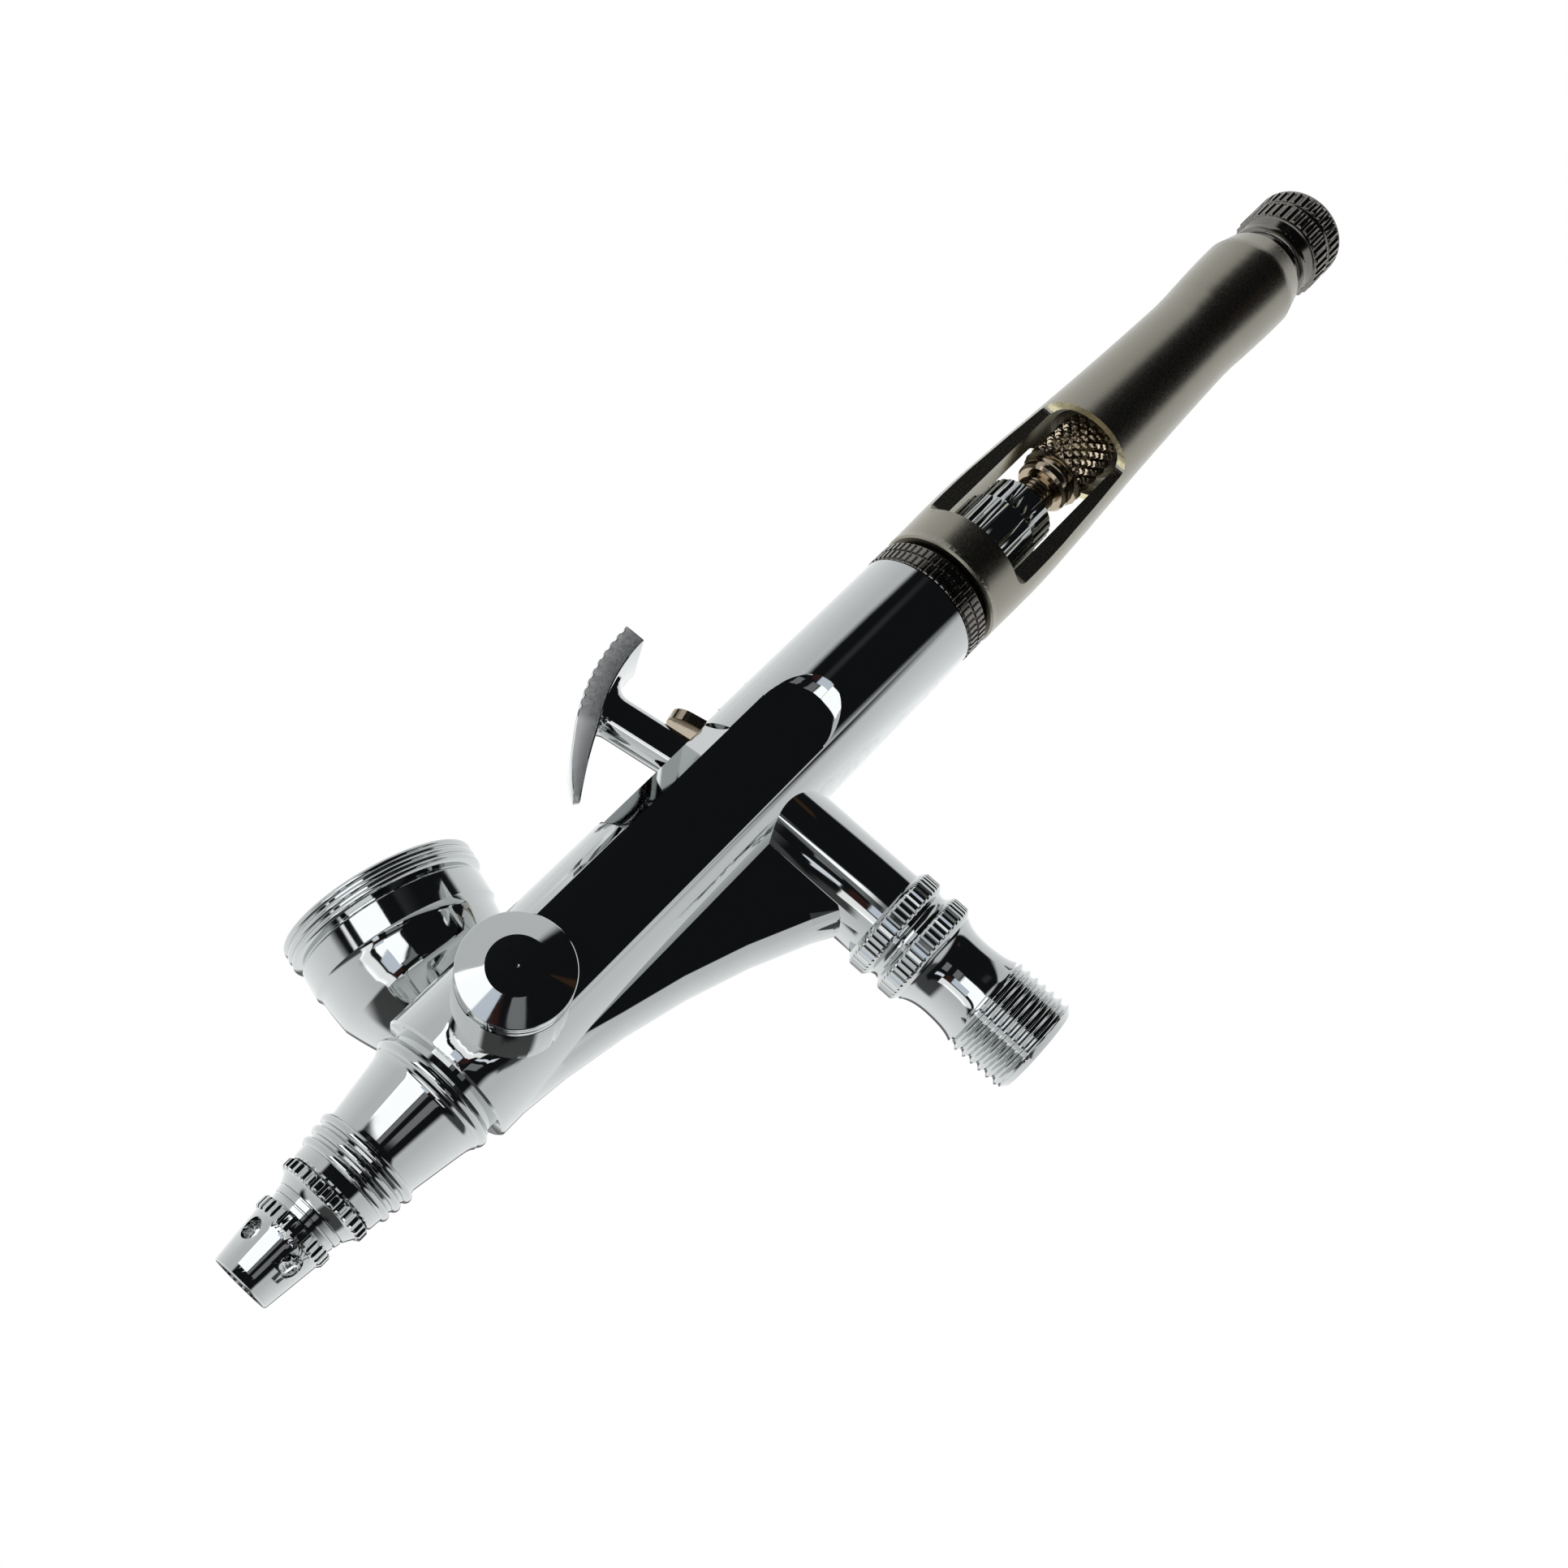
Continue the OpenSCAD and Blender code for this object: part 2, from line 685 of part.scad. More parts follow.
module stem_seal() {
    color(white_seal)
    at_cup()
    rotate([-90, 0, 0])
        lathe_z([[far_reach + face_gap - cup_reach, stem_r + seat],
                 [far_reach + face_gap - cup_reach, far_r - 0.4],
                 [far_reach + face_gap + 0.6 - cup_reach, far_r - 0.4],
                 [far_reach + face_gap + 0.6 - cup_reach, stem_r + seat]]);
}

// ---- trigger and lever ---------------------------------------------------

pad_x = 3.7;

// Finger pad: a curved plate with transverse teeth on its back, thinning to a round front
module pad() {
    rear_a = 92;
    teeth_a = 121;
    front_a = 143.5;
    tip_t = 0.6;
    half = pad_w / 2;
    step = (teeth_a - rear_a) / pad_teeth;
    teeth = [for (i = [0 : pad_teeth - 1])
        each [[rear_a + i * step, pad_r], [rear_a + (i + 0.75) * step, pad_r - tooth_depth]]];
    belly = [for (i = [0 : 20]) let (a = front_a - (front_a - rear_a) * i / 20)
        [a, pad_r - pad_t + (pad_t - tip_t) * pow(max(0, (a - teeth_a) / (front_a - teeth_a)), 1.5)]];
    round_x = pad_x + pad_r * cos(teeth_a + 3);
    round_l = round_x - pad_x - pad_r * cos(front_a);
    intersection() {
        plate_y(concat(
            [for (p = teeth) [pad_x + p[1] * cos(p[0]), -pad_drop + p[1] * sin(p[0])]],
            arc(pad_x, -pad_drop, pad_r, teeth_a, front_a, 8),
            [for (p = belly) [pad_x + p[1] * cos(p[0]), -pad_drop + p[1] * sin(p[0])]]
        ), pad_w);
        // Plan with a half-round front
        linear_extrude(40)
            polygon(concat(
                [[pad_x + 3, -half], [pad_x + 3, half]],
                [for (i = [0 : 16]) let (a = 90 + 180 * i / 16) [round_x + round_l * cos(a), half * sin(a)]]
            ));
    }
}

module trigger() {
    // The stem ends inside the pad
    stem_top = sqrt(pow(pad_r - pad_t / 2, 2) - pow(pad_x + 3.6, 2)) - pad_drop;
    top = (stem_top + pivot_drop) / cos(stem_lean);
    color(chrome)
    on_axis()
    union() {
        pad();
        translate([0, 0, pivot_z])
            rotate([0, -stem_lean, 0])
                difference() {
                    union() {
                        // Round stem with flats, narrowed inside the barrel
                        intersection() {
                            rod_z(10.2, top, trigger_stem_r);
                            translate([-4, -stem_flats / 2, 0])
                                cube([8, stem_flats, 40]);
                        }
                        translate([-stem_inner / 2, -stem_flats / 2, 0])
                            cube([stem_inner, stem_flats, 10.5]);
                        rod_y(-stem_flats / 2, stem_flats / 2, foot_r);
                    }
                    // Slot that straddles the needle
                    translate([-3, -0.85, 4])
                        cube([6, 1.7, 4.9]);
                }
    }
}

module aux_lever() {
    run = lever_top - lever_pivot;
    len = norm(run);
    tilt = atan2(run[0], run[1]);
    color(nickel)
    on_axis()
    difference() {
        union() {
            translate([lever_pivot[0], 0, lever_pivot[1]]) {
                rotate([0, tilt, 0]) {
                    translate([-lever_t / 2, -lever_w / 2, 0])
                        cube([lever_t, lever_w, len - 1.2]);
                    translate([0, 0, len - 1.2])
                        intersection() {
                            translate([-lever_t / 2, -lever_w / 2, -1])
                                cube([lever_t, lever_w, 3]);
                            translate([-5, 0, 0])
                                rod_x(0, 10, 1.8);
                        }
                }
                rod_y(-lever_w / 2, lever_w / 2, lever_boss_r);
            }
            translate([guide_x - nose_r - face_gap, 0, nose_z])
                rod_y(-lever_w / 2, lever_w / 2, nose_r);
        }
        translate([lever_pivot[0], 0, lever_pivot[1]])
            rod_y(-5, 5, lever_pin_r + running);
        // Window for the needle
        translate([-1, -0.95, -1.6])
            cube([6, 1.9, 3.4]);
    }
}

module lever_pin() {
    color(chrome)
    on_axis()
    translate([lever_pivot[0], 0, lever_pivot[1]])
        rod_y(-lever_pin_half, lever_pin_half, lever_pin_r);
}

// ---- needle, packing, chuck ----------------------------------------------

module needle() {
    tip = mouth_x + point_in;
    color(chrome)
    on_axis()
        lathe_x([[tip, 0], [tip, 0.06], [tip + taper_len, needle_r],
                 [needle_end, needle_r], [needle_end, 0]]);
}

module needle_packing() {
    color(white_seal)
    on_axis()
        lathe_x([[packing_x, needle_way], [packing_x, packing_r], [packing_x + packing_len, packing_r],
                 [packing_x + packing_len, needle_way]]);
}

module packing_screw() {
    x0 = packing_x + packing_len + 0.05;
    color(brass)
    on_axis()
    difference() {
        lathe_x([[x0, needle_way + 0.05], [x0, packing_r], [x0 + packing_screw_len, packing_r],
                 [x0 + packing_screw_len, needle_way + 0.05]]);
        translate([x0 + packing_screw_len - slot_depth, -slot_depth / 2, -2 * packing_r])
            cube([2 * slot_depth, slot_depth, 4 * packing_r]);
    }
}

module chuck_guide() {
    color(chrome)
    on_axis()
    difference() {
        lathe_x([[guide_x, needle_r + seat], [guide_x, guide_head_r],
                 [guide_x + guide_head_len, guide_head_r], [guide_x + guide_head_len + 0.3, chuck_r],
                 [flange_x, chuck_r], [flange_x, flange_r],
                 [flange_x + flange_t, flange_r], [flange_x + flange_t, chuck_r],
                 [chuck_end, chuck_r], [chuck_end, needle_r + seat]]);
        // Flat that clears the lever's pivot
        translate([guide_x - 1, -5, -10])
            cube([lever_pivot[0] + lever_boss_r + face_gap - guide_x + 1, 10,
                  10 + lever_pivot[1] + lever_boss_r + face_gap]);
    }
}

// Coil spring round the X axis, swept along its helix
module coil(length, coil_r, wire_r, turns, steps = 14, sides = 6) {
    n = turns * steps;
    rings = [for (i = [0 : n]) let (a = 360 * i / steps, p = wire_r + (length - 2 * wire_r) * i / n)
        for (j = [0 : sides - 1]) let (b = 360 * j / sides, rr = coil_r + wire_r * cos(b))
            [p + wire_r * sin(b), rr * cos(a), rr * sin(a)]];
    walls = [for (i = [0 : n - 1]) for (j = [0 : sides - 1]) let (k = (j + 1) % sides)
        [i * sides + j, i * sides + k, (i + 1) * sides + k, (i + 1) * sides + j]];
    polyhedron(points = rings, faces = concat(
        [[for (j = [sides - 1 : -1 : 0]) j]], walls, [[for (j = [0 : sides - 1]) n * sides + j]]));
}

module needle_spring() {
    color(chrome)
    on_axis()
    translate([spring_x0, 0, 0])
        coil(spring_x1 - spring_x0, spring_coil_r, spring_wire_r, spring_turns);
}

module spring_case() {
    thread_r = cavity_r - seat;
    color(chrome)
    on_axis()
    difference() {
        lathe_x([[flange_x - 0.8, 0], [flange_x - 0.8, thread_r], [handle_x + case_seat, thread_r],
                 [handle_x + case_seat, case_r], [case_x2 - 0.3, case_r], [case_x2, case_r - 0.35],
                 [case_x2, case_step_r], [case_end - 0.3, case_step_r], [case_end, case_step_r - 0.3],
                 [case_end, 0]]);
        rod_x(flange_x - 2, spring_x1 + 0.1, flange_r + running);
        rod_x(flange_x, case_end + 1, chuck_r + running);
        flutes_x(handle_x + case_seat + eps, case_x2 + eps, case_r, case_flutes, 0.28);
        flutes_x(case_x2 + 0.3, case_end + 0.1, case_step_r, case_flutes, 0.28);
    }
}

module chuck_nut() {
    head_x0 = nut_x + collar_len;
    color(nickel)
    on_axis()
    difference() {
        lathe_x(concat(
            [[nut_x, 0], [nut_x, 2.7], [nut_x + 0.3, 2.95], [head_x0 - 0.3, 2.95], [head_x0 - 0.1, 2.7],
             [head_x0, nut_r - 0.3], [head_x0 + 0.4, nut_r]],
            curve([nut_end - 2.2, nut_r], [nut_end, nut_r - 0.2], [nut_end, nut_r - 1.8], 6),
            [[nut_end, 0]]
        ));
        rod_x(nut_x - 1, chuck_end + 0.1, chuck_r + seat);
        rod_x(nut_x, nut_end + 1, needle_r + seat);
    }
}

// ---- handle --------------------------------------------------------------

module lock_ring() {
    x0 = rear_x + 0.05;
    color(dark_nickel)
    on_axis()
        lathe_x([[x0, cavity_r + seat], [x0, barrel_r - 0.15], [x0 + 0.15, barrel_r + 0.05],
                 [x0 + lock_len - 0.5, barrel_r + 0.05], [x0 + lock_len - 0.1, barrel_r - 0.35],
                 [x0 + lock_len - 0.1, cavity_r + seat]]);
}

// Notches milled across both sides, which open the bore
module window_cut() {
    corner_y = window_y + window_fillet;
    profile = concat(
        [[window_x, 2 * handle_r]],
        arc(window_x + window_fillet, corner_y, window_fillet, 180, 270),
        arc(window_end - window_fillet, corner_y, window_fillet, 270, 360),
        [[window_end, 2 * handle_r]]
    );
    for (side = [-1, 1])
        linear_extrude(4 * handle_r, center = true)
            polygon([for (p = profile) [p[0], side * p[1]]]);
}

module handle() {
    color(nickel)
    on_axis()
    difference() {
        lathe_x(concat([[handle_x, 0]], handle_outline, [[handle_end, 0]]));
        // The bore seats on the spring case, clears the chuck, narrows with the waist
        // and ends in the stop screw's thread
        rod_x(handle_x - 1, handle_x + case_seat + eps, cavity_r);
        rod_x(handle_x + case_seat, window_end + 1.5, handle_bore_r);
        rod_x(window_end + 1, handle_end - stop_len, handle_waist_r - 1.1);
        rod_x(handle_end - stop_len - 1, handle_end + 1, stop_r + running);
        window_cut();
    }
}

module stop_screw() {
    band1 = knob_x + 3.8;
    band2 = band1 + band_w + band_gap;
    end_x = band2 + band_w;
    color(dark_nickel)
    on_axis()
    difference() {
        lathe_x(concat(
            [[stop_x, 0], [stop_x, stop_r - 0.2], [stop_x + 0.2, stop_r], [knob_x, stop_r],
             [knob_x, 4.3], [knob_x + 1.7, 4.3], [knob_x + 1.8, 4.75], [knob_x + 2.5, 4.75],
             [knob_x + 2.6, 4.5], [band1 - 0.1, knob_r - 0.3], [band1 + 0.1, knob_r],
             [band1 + band_w - 0.1, knob_r], [band1 + band_w, knob_r - 0.35], [band2, knob_r - 0.35],
             [band2 + 0.1, knob_r], [end_x - 0.5, knob_r]],
            arc(end_x - 0.5, knob_r - 0.5, 0.5, 90, 0, 4),
            [[end_x + 0.15, 0]]
        ));
        flutes_x(band1 - 0.01, band1 + band_w + 0.02, knob_r, 36, 0.2);
        flutes_x(band2 - 0.02, end_x - 0.3, knob_r, 36, 0.2);
    }
}

// ---- air valve -----------------------------------------------------------

module valve_guide() {
    color(brass)
    on_axis()
    difference() {
        rod_z(guide_top - guide_len, guide_top, airway_r - seat);
        rod_z(guide_top - guide_len - 1, guide_top + 1, pin_r + running);
    }
}

module valve_pin() {
    head_z = seat_z - seat_t - face_gap - valve_seal_t;
    color(brass)
    on_axis()
        lathe_z([[button_z, 0], [button_z, button_r - edge], [button_z - edge, button_r],
                 [button_z - button_t, button_r], [button_z - button_t, pin_r], [head_z, pin_r],
                 [head_z, valve_head_r], [head_z - valve_head_t, valve_head_r],
                 [head_z - valve_head_t, pin_r], [head_z - 2 * valve_head_t, pin_r],
                 [head_z - 2 * valve_head_t, 0]]);
}

module valve_seat() {
    color(brass)
    on_axis()
    difference() {
        rod_z(seat_z - seat_t, seat_z, airway_r - seat);
        rod_z(seat_z - 3, seat_z + 1, pin_r + 0.4);
    }
}

module valve_seal() {
    z1 = seat_z - seat_t - face_gap;
    color(white_seal)
    on_axis()
        lathe_z([[z1, pin_r + seat], [z1, valve_head_r],
                 [z1 - valve_seal_t, valve_head_r], [z1 - valve_seal_t, pin_r + seat]]);
}

module valve_spring() {
    top = seat_z - seat_t - face_gap - valve_seal_t - valve_head_t - eps;
    color(chrome)
    on_axis()
    translate([0, 0, spring_end])
        rotate([0, -90, 0])
            coil(top - spring_end, 1.5, 0.22, 5);
}

module spring_nut() {
    color(brass)
    on_axis()
    difference() {
        rod_z(spring_end - 2.02, spring_end - 0.02, airway_r - seat);
        rod_z(spring_end - 4, spring_end + 1, 1.1);
    }
}

module valve_body() {
    w = valve_ring_w;
    r = valve_ring_r;
    color(chrome)
    on_axis()
    difference() {
        union() {
            rod_z(valve_z - 1, valve_z + socket_len, socket_r);
            lathe_z(concat(
                [[valve_z - 0.02, 0], [valve_z - 0.02, r - 0.45]],
                curve([valve_z - 0.2, r - 0.2], [valve_z - w / 2, r + 0.2], [valve_z - w + 0.2, r - 0.2], 4),
                [[valve_z - w, r - 0.45], [ring2_z, r - 0.45]],
                curve([ring2_z - 0.2, r - 0.2], [ring2_z - w / 2, r + 0.2], [bell_z + 0.2, r - 0.2], 4),
                curve([bell_z, r - 0.15], [bell_z - 1.2, waist_r - 0.1],
                      [bell_z - bell_len * 0.6, waist_r], 7),
                curve([bell_z - bell_len * 0.7, waist_r + 0.02], [bell_z - bell_len * 0.9, waist_r + 0.15],
                      [thread_z + 0.35, inlet_r - 0.25], 5),
                [[thread_z + 0.35, waist_r], [thread_z, waist_r], [thread_z, inlet_r],
                 [-axis_z + inlet_lead, inlet_r], [-axis_z, inlet_r - 1.2 * inlet_lead], [-axis_z, 0]]
            ));
        }
        rod_z(-axis_z - 1, 0, airway_r);
    }
}

barrel();
head();
nozzle();
nozzle_cap();
needle_cap();
port_plug();
plug_seal();
cup();
cup_stem();
stem_seal();
trigger();
aux_lever();
lever_pin();
needle();
needle_packing();
packing_screw();
chuck_guide();
needle_spring();
spring_case();
chuck_nut();
lock_ring();
handle();
stop_screw();
valve_guide();
valve_pin();
valve_seat();
valve_seal();
valve_spring();
spring_nut();
valve_body();
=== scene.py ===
# Side-feed double-action airbrush gun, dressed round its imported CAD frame.
# +X runs from the spray tip to the tail, +Z is up, -Y is the side of the port plug.
import bpy
import math
from mathutils import Matrix, Vector


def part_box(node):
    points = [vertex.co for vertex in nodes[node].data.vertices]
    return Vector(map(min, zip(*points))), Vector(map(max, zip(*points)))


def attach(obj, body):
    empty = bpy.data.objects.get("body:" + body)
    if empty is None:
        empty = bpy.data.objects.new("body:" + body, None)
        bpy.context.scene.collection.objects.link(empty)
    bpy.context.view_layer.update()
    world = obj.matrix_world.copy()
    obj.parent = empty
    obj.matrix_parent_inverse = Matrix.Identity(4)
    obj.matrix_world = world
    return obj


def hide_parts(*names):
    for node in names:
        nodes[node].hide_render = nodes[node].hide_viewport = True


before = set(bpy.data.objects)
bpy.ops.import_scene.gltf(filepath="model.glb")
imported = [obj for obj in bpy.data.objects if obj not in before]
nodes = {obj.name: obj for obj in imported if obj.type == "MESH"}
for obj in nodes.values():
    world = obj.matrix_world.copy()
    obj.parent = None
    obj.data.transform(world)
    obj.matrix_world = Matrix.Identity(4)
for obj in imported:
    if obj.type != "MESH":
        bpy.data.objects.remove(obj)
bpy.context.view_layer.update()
mm = 0.001


# ---- Camera ---------------------------------------------------------------
# A 40 mm lens close to the gun on the plug's side, a little below the barrel's
# line and rolled, so that the barrel runs from lower left to upper right.
camera_at = Vector((-65.31, -142.32, 13.19)) * mm
camera_azimuth, camera_elevation = math.radians(25.69), math.radians(7.06)
camera_roll = math.radians(-48.64)
camera_lens_mm, camera_film_mm = 39.994, 36
looking = Vector((math.sin(camera_azimuth) * math.cos(camera_elevation),
                  math.cos(camera_azimuth) * math.cos(camera_elevation),
                  math.sin(camera_elevation)))
level = looking.cross(Vector((0, 0, 1))).normalized()
upright = level.cross(looking)
camera_right = level * math.cos(camera_roll) + upright * math.sin(camera_roll)
camera_up = (-looking).cross(camera_right)
bpy.ops.object.camera_add(location=camera_at)
camera = bpy.context.object
camera.name = "camera"
camera.rotation_mode = "QUATERNION"
camera_axes = Matrix((camera_right, camera_up, -looking)).transposed()
camera.rotation_quaternion = camera_axes.to_quaternion()
camera.data.lens, camera.data.sensor_width = camera_lens_mm, camera_film_mm
camera.data.clip_start, camera.data.clip_end = 0.01, 20
bpy.context.scene.camera = camera
bpy.context.scene.view_settings.view_transform = "Standard"


# ---- Studio ---------------------------------------------------------------
# A white tent with its front open on a dark room, the way polished metal is lit:
# the tent fills the chrome with pale light, and the opening draws its black bands.
def linear(code):
    parts = [int(code[i:i + 2], 16) / 255 for i in (1, 3, 5)]
    channels = [p / 12.92 if p <= 0.04045 else ((p + 0.055) / 1.055) ** 2.4 for p in parts]
    return (*channels, 1.0)


def add_node(tree, kind, inputs=None, **settings):
    made = tree.nodes.new("ShaderNode" + kind)
    for name, value in settings.items():
        setattr(made, name, value)
    for name, value in (inputs or {}).items():
        if isinstance(value, bpy.types.NodeSocket):
            tree.links.new(value, made.inputs[name])
        else:
            made.inputs[name].default_value = value
    return made


world = bpy.data.worlds.new("studio tent")
bpy.context.scene.world = world
world.use_nodes = True
tent = world.node_tree
tent.nodes.clear()
ray = add_node(tent, "TexCoord").outputs["Generated"]
along = add_node(tent, "SeparateXYZ", {0: ray}).outputs
# The tent's wall grows lighter away from its opening
wall = add_node(tent, "MapRange", {"Value": along["Y"], "From Min": -0.4, "From Max": 0.8,
                                   "To Min": 0.74, "To Max": 1.12})


def shade(value, start, end):
    return add_node(tent, "MapRange", {"Value": value, "From Min": start, "From Max": end},
                    interpolation_type="SMOOTHSTEP").outputs[0]


def both(a, b, operation="MULTIPLY"):
    return add_node(tent, "Math", {0: a, 1: b}, operation=operation).outputs[0]


# The opening's edges are soft: each pair runs from the light side to the dark side.
# Its top comes down towards the gun's tail.
open_front, open_side = (-0.10, -0.24), (-0.86, -0.78)
open_top, open_foot = (0.70, 0.58), (-0.80, -0.69)
slope_from, slope_rate = 0.5, 1.15
sloped = both(both(both(along["X"], slope_from, "SUBTRACT"), 0.0, "MAXIMUM"), slope_rate)
over = both(along["Z"], sloped, "ADD")
opening = both(both(shade(along["Y"], *open_front), shade(over, *open_top)),
               both(shade(along["Z"], *open_foot), shade(along["X"], *open_side)))
lit = both(wall.outputs[0], both(1.0, opening, "SUBTRACT"))
# A dark seam in the wall straight behind the gun
seam, seam_depth = (0.95, 0.985), 0.85
lit = both(lit, both(1.0, both(shade(along["Y"], *seam), seam_depth), "SUBTRACT"))
# A dark stand low on the left, which the underside of the cup mirrors
stand_side, stand_top, stand_back, stand_depth = (-0.20, -0.36), (-0.06, -0.20), (0.45, 0.25), 0.92
stand = both(both(shade(along["X"], *stand_side), shade(along["Z"], *stand_top)),
             both(shade(along["Y"], *stand_back), stand_depth))
lit = both(lit, both(1.0, stand, "SUBTRACT"))
glow = add_node(tent, "Background", {"Color": linear("#FCFDFD"), "Strength": lit}).outputs[0]
# Lamps and furniture in the dark room: x range, z range, soft edge, strength, colour
in_room = {
    "tall softbox": (-0.46, -0.11, 0.03, 0.69, 0.02, 1.7, "#FFFFFF"),
    "side softbox": (-0.62, -0.44, 0.20, 0.69, 0.02, 1.7, "#FFFFFF"),
    "tall window": (-0.68, -0.57, -0.56, -0.27, 0.02, 1.1, "#F4F8FF"),
    "grey shelf": (-0.44, -0.08, -0.14, 0.03, 0.03, 0.24, "#F0F2F4"),
    "blue panel": (-0.67, -0.43, -0.06, 0.22, 0.02, 1.0, "#E4ECF8"),
    "white door": (-0.86, -0.685, -0.30, 0.70, 0.02, 1.25, "#FFFFFF"),
    "low wall": (-0.46, -0.12, -0.52, -0.28, 0.03, 0.26, "#F0F2F4"),
    "red cloth": (-0.80, -0.48, -0.24, -0.04, 0.05, 0.07, "#B8604E"),
    "brown door": (0.57, 0.70, -0.58, -0.44, 0.03, 0.09, "#B0743C"),
    "far shelf": (0.15, 0.62, 0.16, 0.40, 0.12, 0.035, "#E8ECF4"),
}
front = shade(along["Y"], -0.42, -0.48)  # Only on the room's side of the tent
for name, (x0, x1, z0, z1, soft, strength, colour) in in_room.items():
    shape = front
    for way, start, end in (("X", x0, x1), ("Z", z0, z1)):
        shape = both(shape, both(shade(along[way], start, start + soft),
                                 shade(along[way], end, end - soft)))
    lamp = add_node(tent, "Background", {"Color": linear(colour),
                                         "Strength": both(shape, strength)})
    glow = add_node(tent, "AddShader", {0: glow, 1: lamp.outputs[0]}).outputs[0]
# What little light the dark room throws back
dusk = add_node(tent, "Background", {"Color": linear("#F2F6FF"), "Strength": 0.010})
glow = add_node(tent, "AddShader", {0: glow, 1: dusk.outputs[0]}).outputs[0]
# Seen straight on, the tent is plain white
paths = add_node(tent, "LightPath").outputs
plain = add_node(tent, "Background", {"Color": (1, 1, 1, 1), "Strength": 1.0}).outputs[0]
seen = add_node(tent, "MixShader", {0: paths["Is Camera Ray"], 1: glow, 2: plain}).outputs[0]
add_node(tent, "OutputWorld", {"Surface": seen})

# White table under the gun, low enough that its shadow is faint and soft. The metal
# mirrors the tent in its place.
table_size, table_drop = 6, 0.05
bpy.ops.mesh.primitive_plane_add(size=table_size, location=(0, 0, -table_drop))
table = bpy.context.object
table.name = "table"
table.visible_glossy = False


def new_material(name):
    made = bpy.data.materials.new(name)
    made.use_nodes = True
    made.node_tree.nodes.clear()
    return made, made.node_tree


paper, tree = new_material("matt white table paper")
paths = add_node(tree, "LightPath").outputs
matt = add_node(tree, "BsdfDiffuse", {"Color": linear("#F6F6F6")})
paper_glow, paper_glow_share = 1.1, 0.85  # Brings the paper to plain white, and keeps its shadow
white = add_node(tree, "Emission", {"Strength": paper_glow})
share = add_node(tree, "Math", {0: paths["Is Camera Ray"], 1: paper_glow_share},
                 operation="MULTIPLY")
mixed = add_node(tree, "MixShader", {0: share.outputs[0], 1: matt.outputs[0], 2: white.outputs[0]})
add_node(tree, "OutputMaterial", {"Surface": mixed.outputs[0]})
table.data.materials.append(paper)


# ---- Barrel ---------------------------------------------------------------
# One turned and milled brass bar with its valve tube, air passage and side bosses,
# polished to a mirror and chromed. The plating hides the tool marks but not the
# polisher's slight waves.
def metal(name, colour, rough, spread, grain, wave, depth):
    """grain is the size in mm of the finish's mottle, drawn coarser than the real one so that
    it shows; wave and depth, in mm, are the slow undulation that polishing leaves."""
    made, tree = new_material(name)
    place = add_node(tree, "TexCoord").outputs["Object"]
    mottle = add_node(tree, "TexNoise", {"Vector": place, "Scale": 1 / (grain * mm), "Detail": 4.0})
    sheen = add_node(tree, "MapRange", {"Value": mottle.outputs["Fac"],
                                        "From Min": 0.35, "From Max": 0.65,
                                        "To Min": rough - spread, "To Max": rough + spread})
    swell = add_node(tree, "TexNoise", {"Vector": place, "Scale": 1 / (wave * mm), "Detail": 1.0})
    dents = add_node(tree, "Bump", {"Height": swell.outputs["Fac"], "Strength": 1.0,
                                    "Distance": depth * mm})
    skin = add_node(tree, "BsdfPrincipled", {"Base Color": linear(colour), "Metallic": 1.0,
                                             "Roughness": sheen.outputs[0],
                                             "Normal": dents.outputs[0]})
    add_node(tree, "OutputMaterial", {"Surface": skin.outputs[0]})
    return made


def select_only(piece):
    bpy.ops.object.select_all(action="DESELECT")
    bpy.context.view_layer.objects.active = piece
    piece.select_set(True)


weld = 0.0005 * mm


def lathe_normals(face, points, normals, way, at):
    """The corner normals that a face has where it was turned about an axis, or None. way is
    the axis's direction and at is a point on it."""
    spokes = [(p - at) - way * (p - at).dot(way) for p in points]
    radii = [s.length for s in spokes]
    lean = face.normal.dot(way)
    smallest_radius, steepest_lean = 0.2 * mm, 0.985
    if min(radii) < smallest_radius or abs(lean) > steepest_lean:
        return None
    spokes = [s / r for s, r in zip(spokes, radii)]
    middle = sum(spokes, Vector()).normalized()
    facing = face.normal.dot(middle)
    most_skew, widest_face = 0.09, 0.985
    if abs(face.normal.dot(way.cross(middle))) > most_skew:
        return None
    if min(s.dot(middle) for s in spokes) < widest_face:
        return None
    # The corners have to lie on one cone, or all at one radius
    cone_error, radius_error = 0.02 * mm, 0.004 * mm
    slope = -lean / facing
    step = [(p - at).dot(way) for p in points]
    off = max(abs(r - radii[0] - slope * (x - step[0])) for r, x in zip(radii, step))
    if off > cone_error and max(radii) - min(radii) > radius_error:
        return None
    found = []
    for normal, spoke in zip(normals, spokes):
        a = normal.dot(way)
        found.append(spoke * math.copysign(math.sqrt(max(0.0, 1 - a * a)), facing) + way * a)
    return found


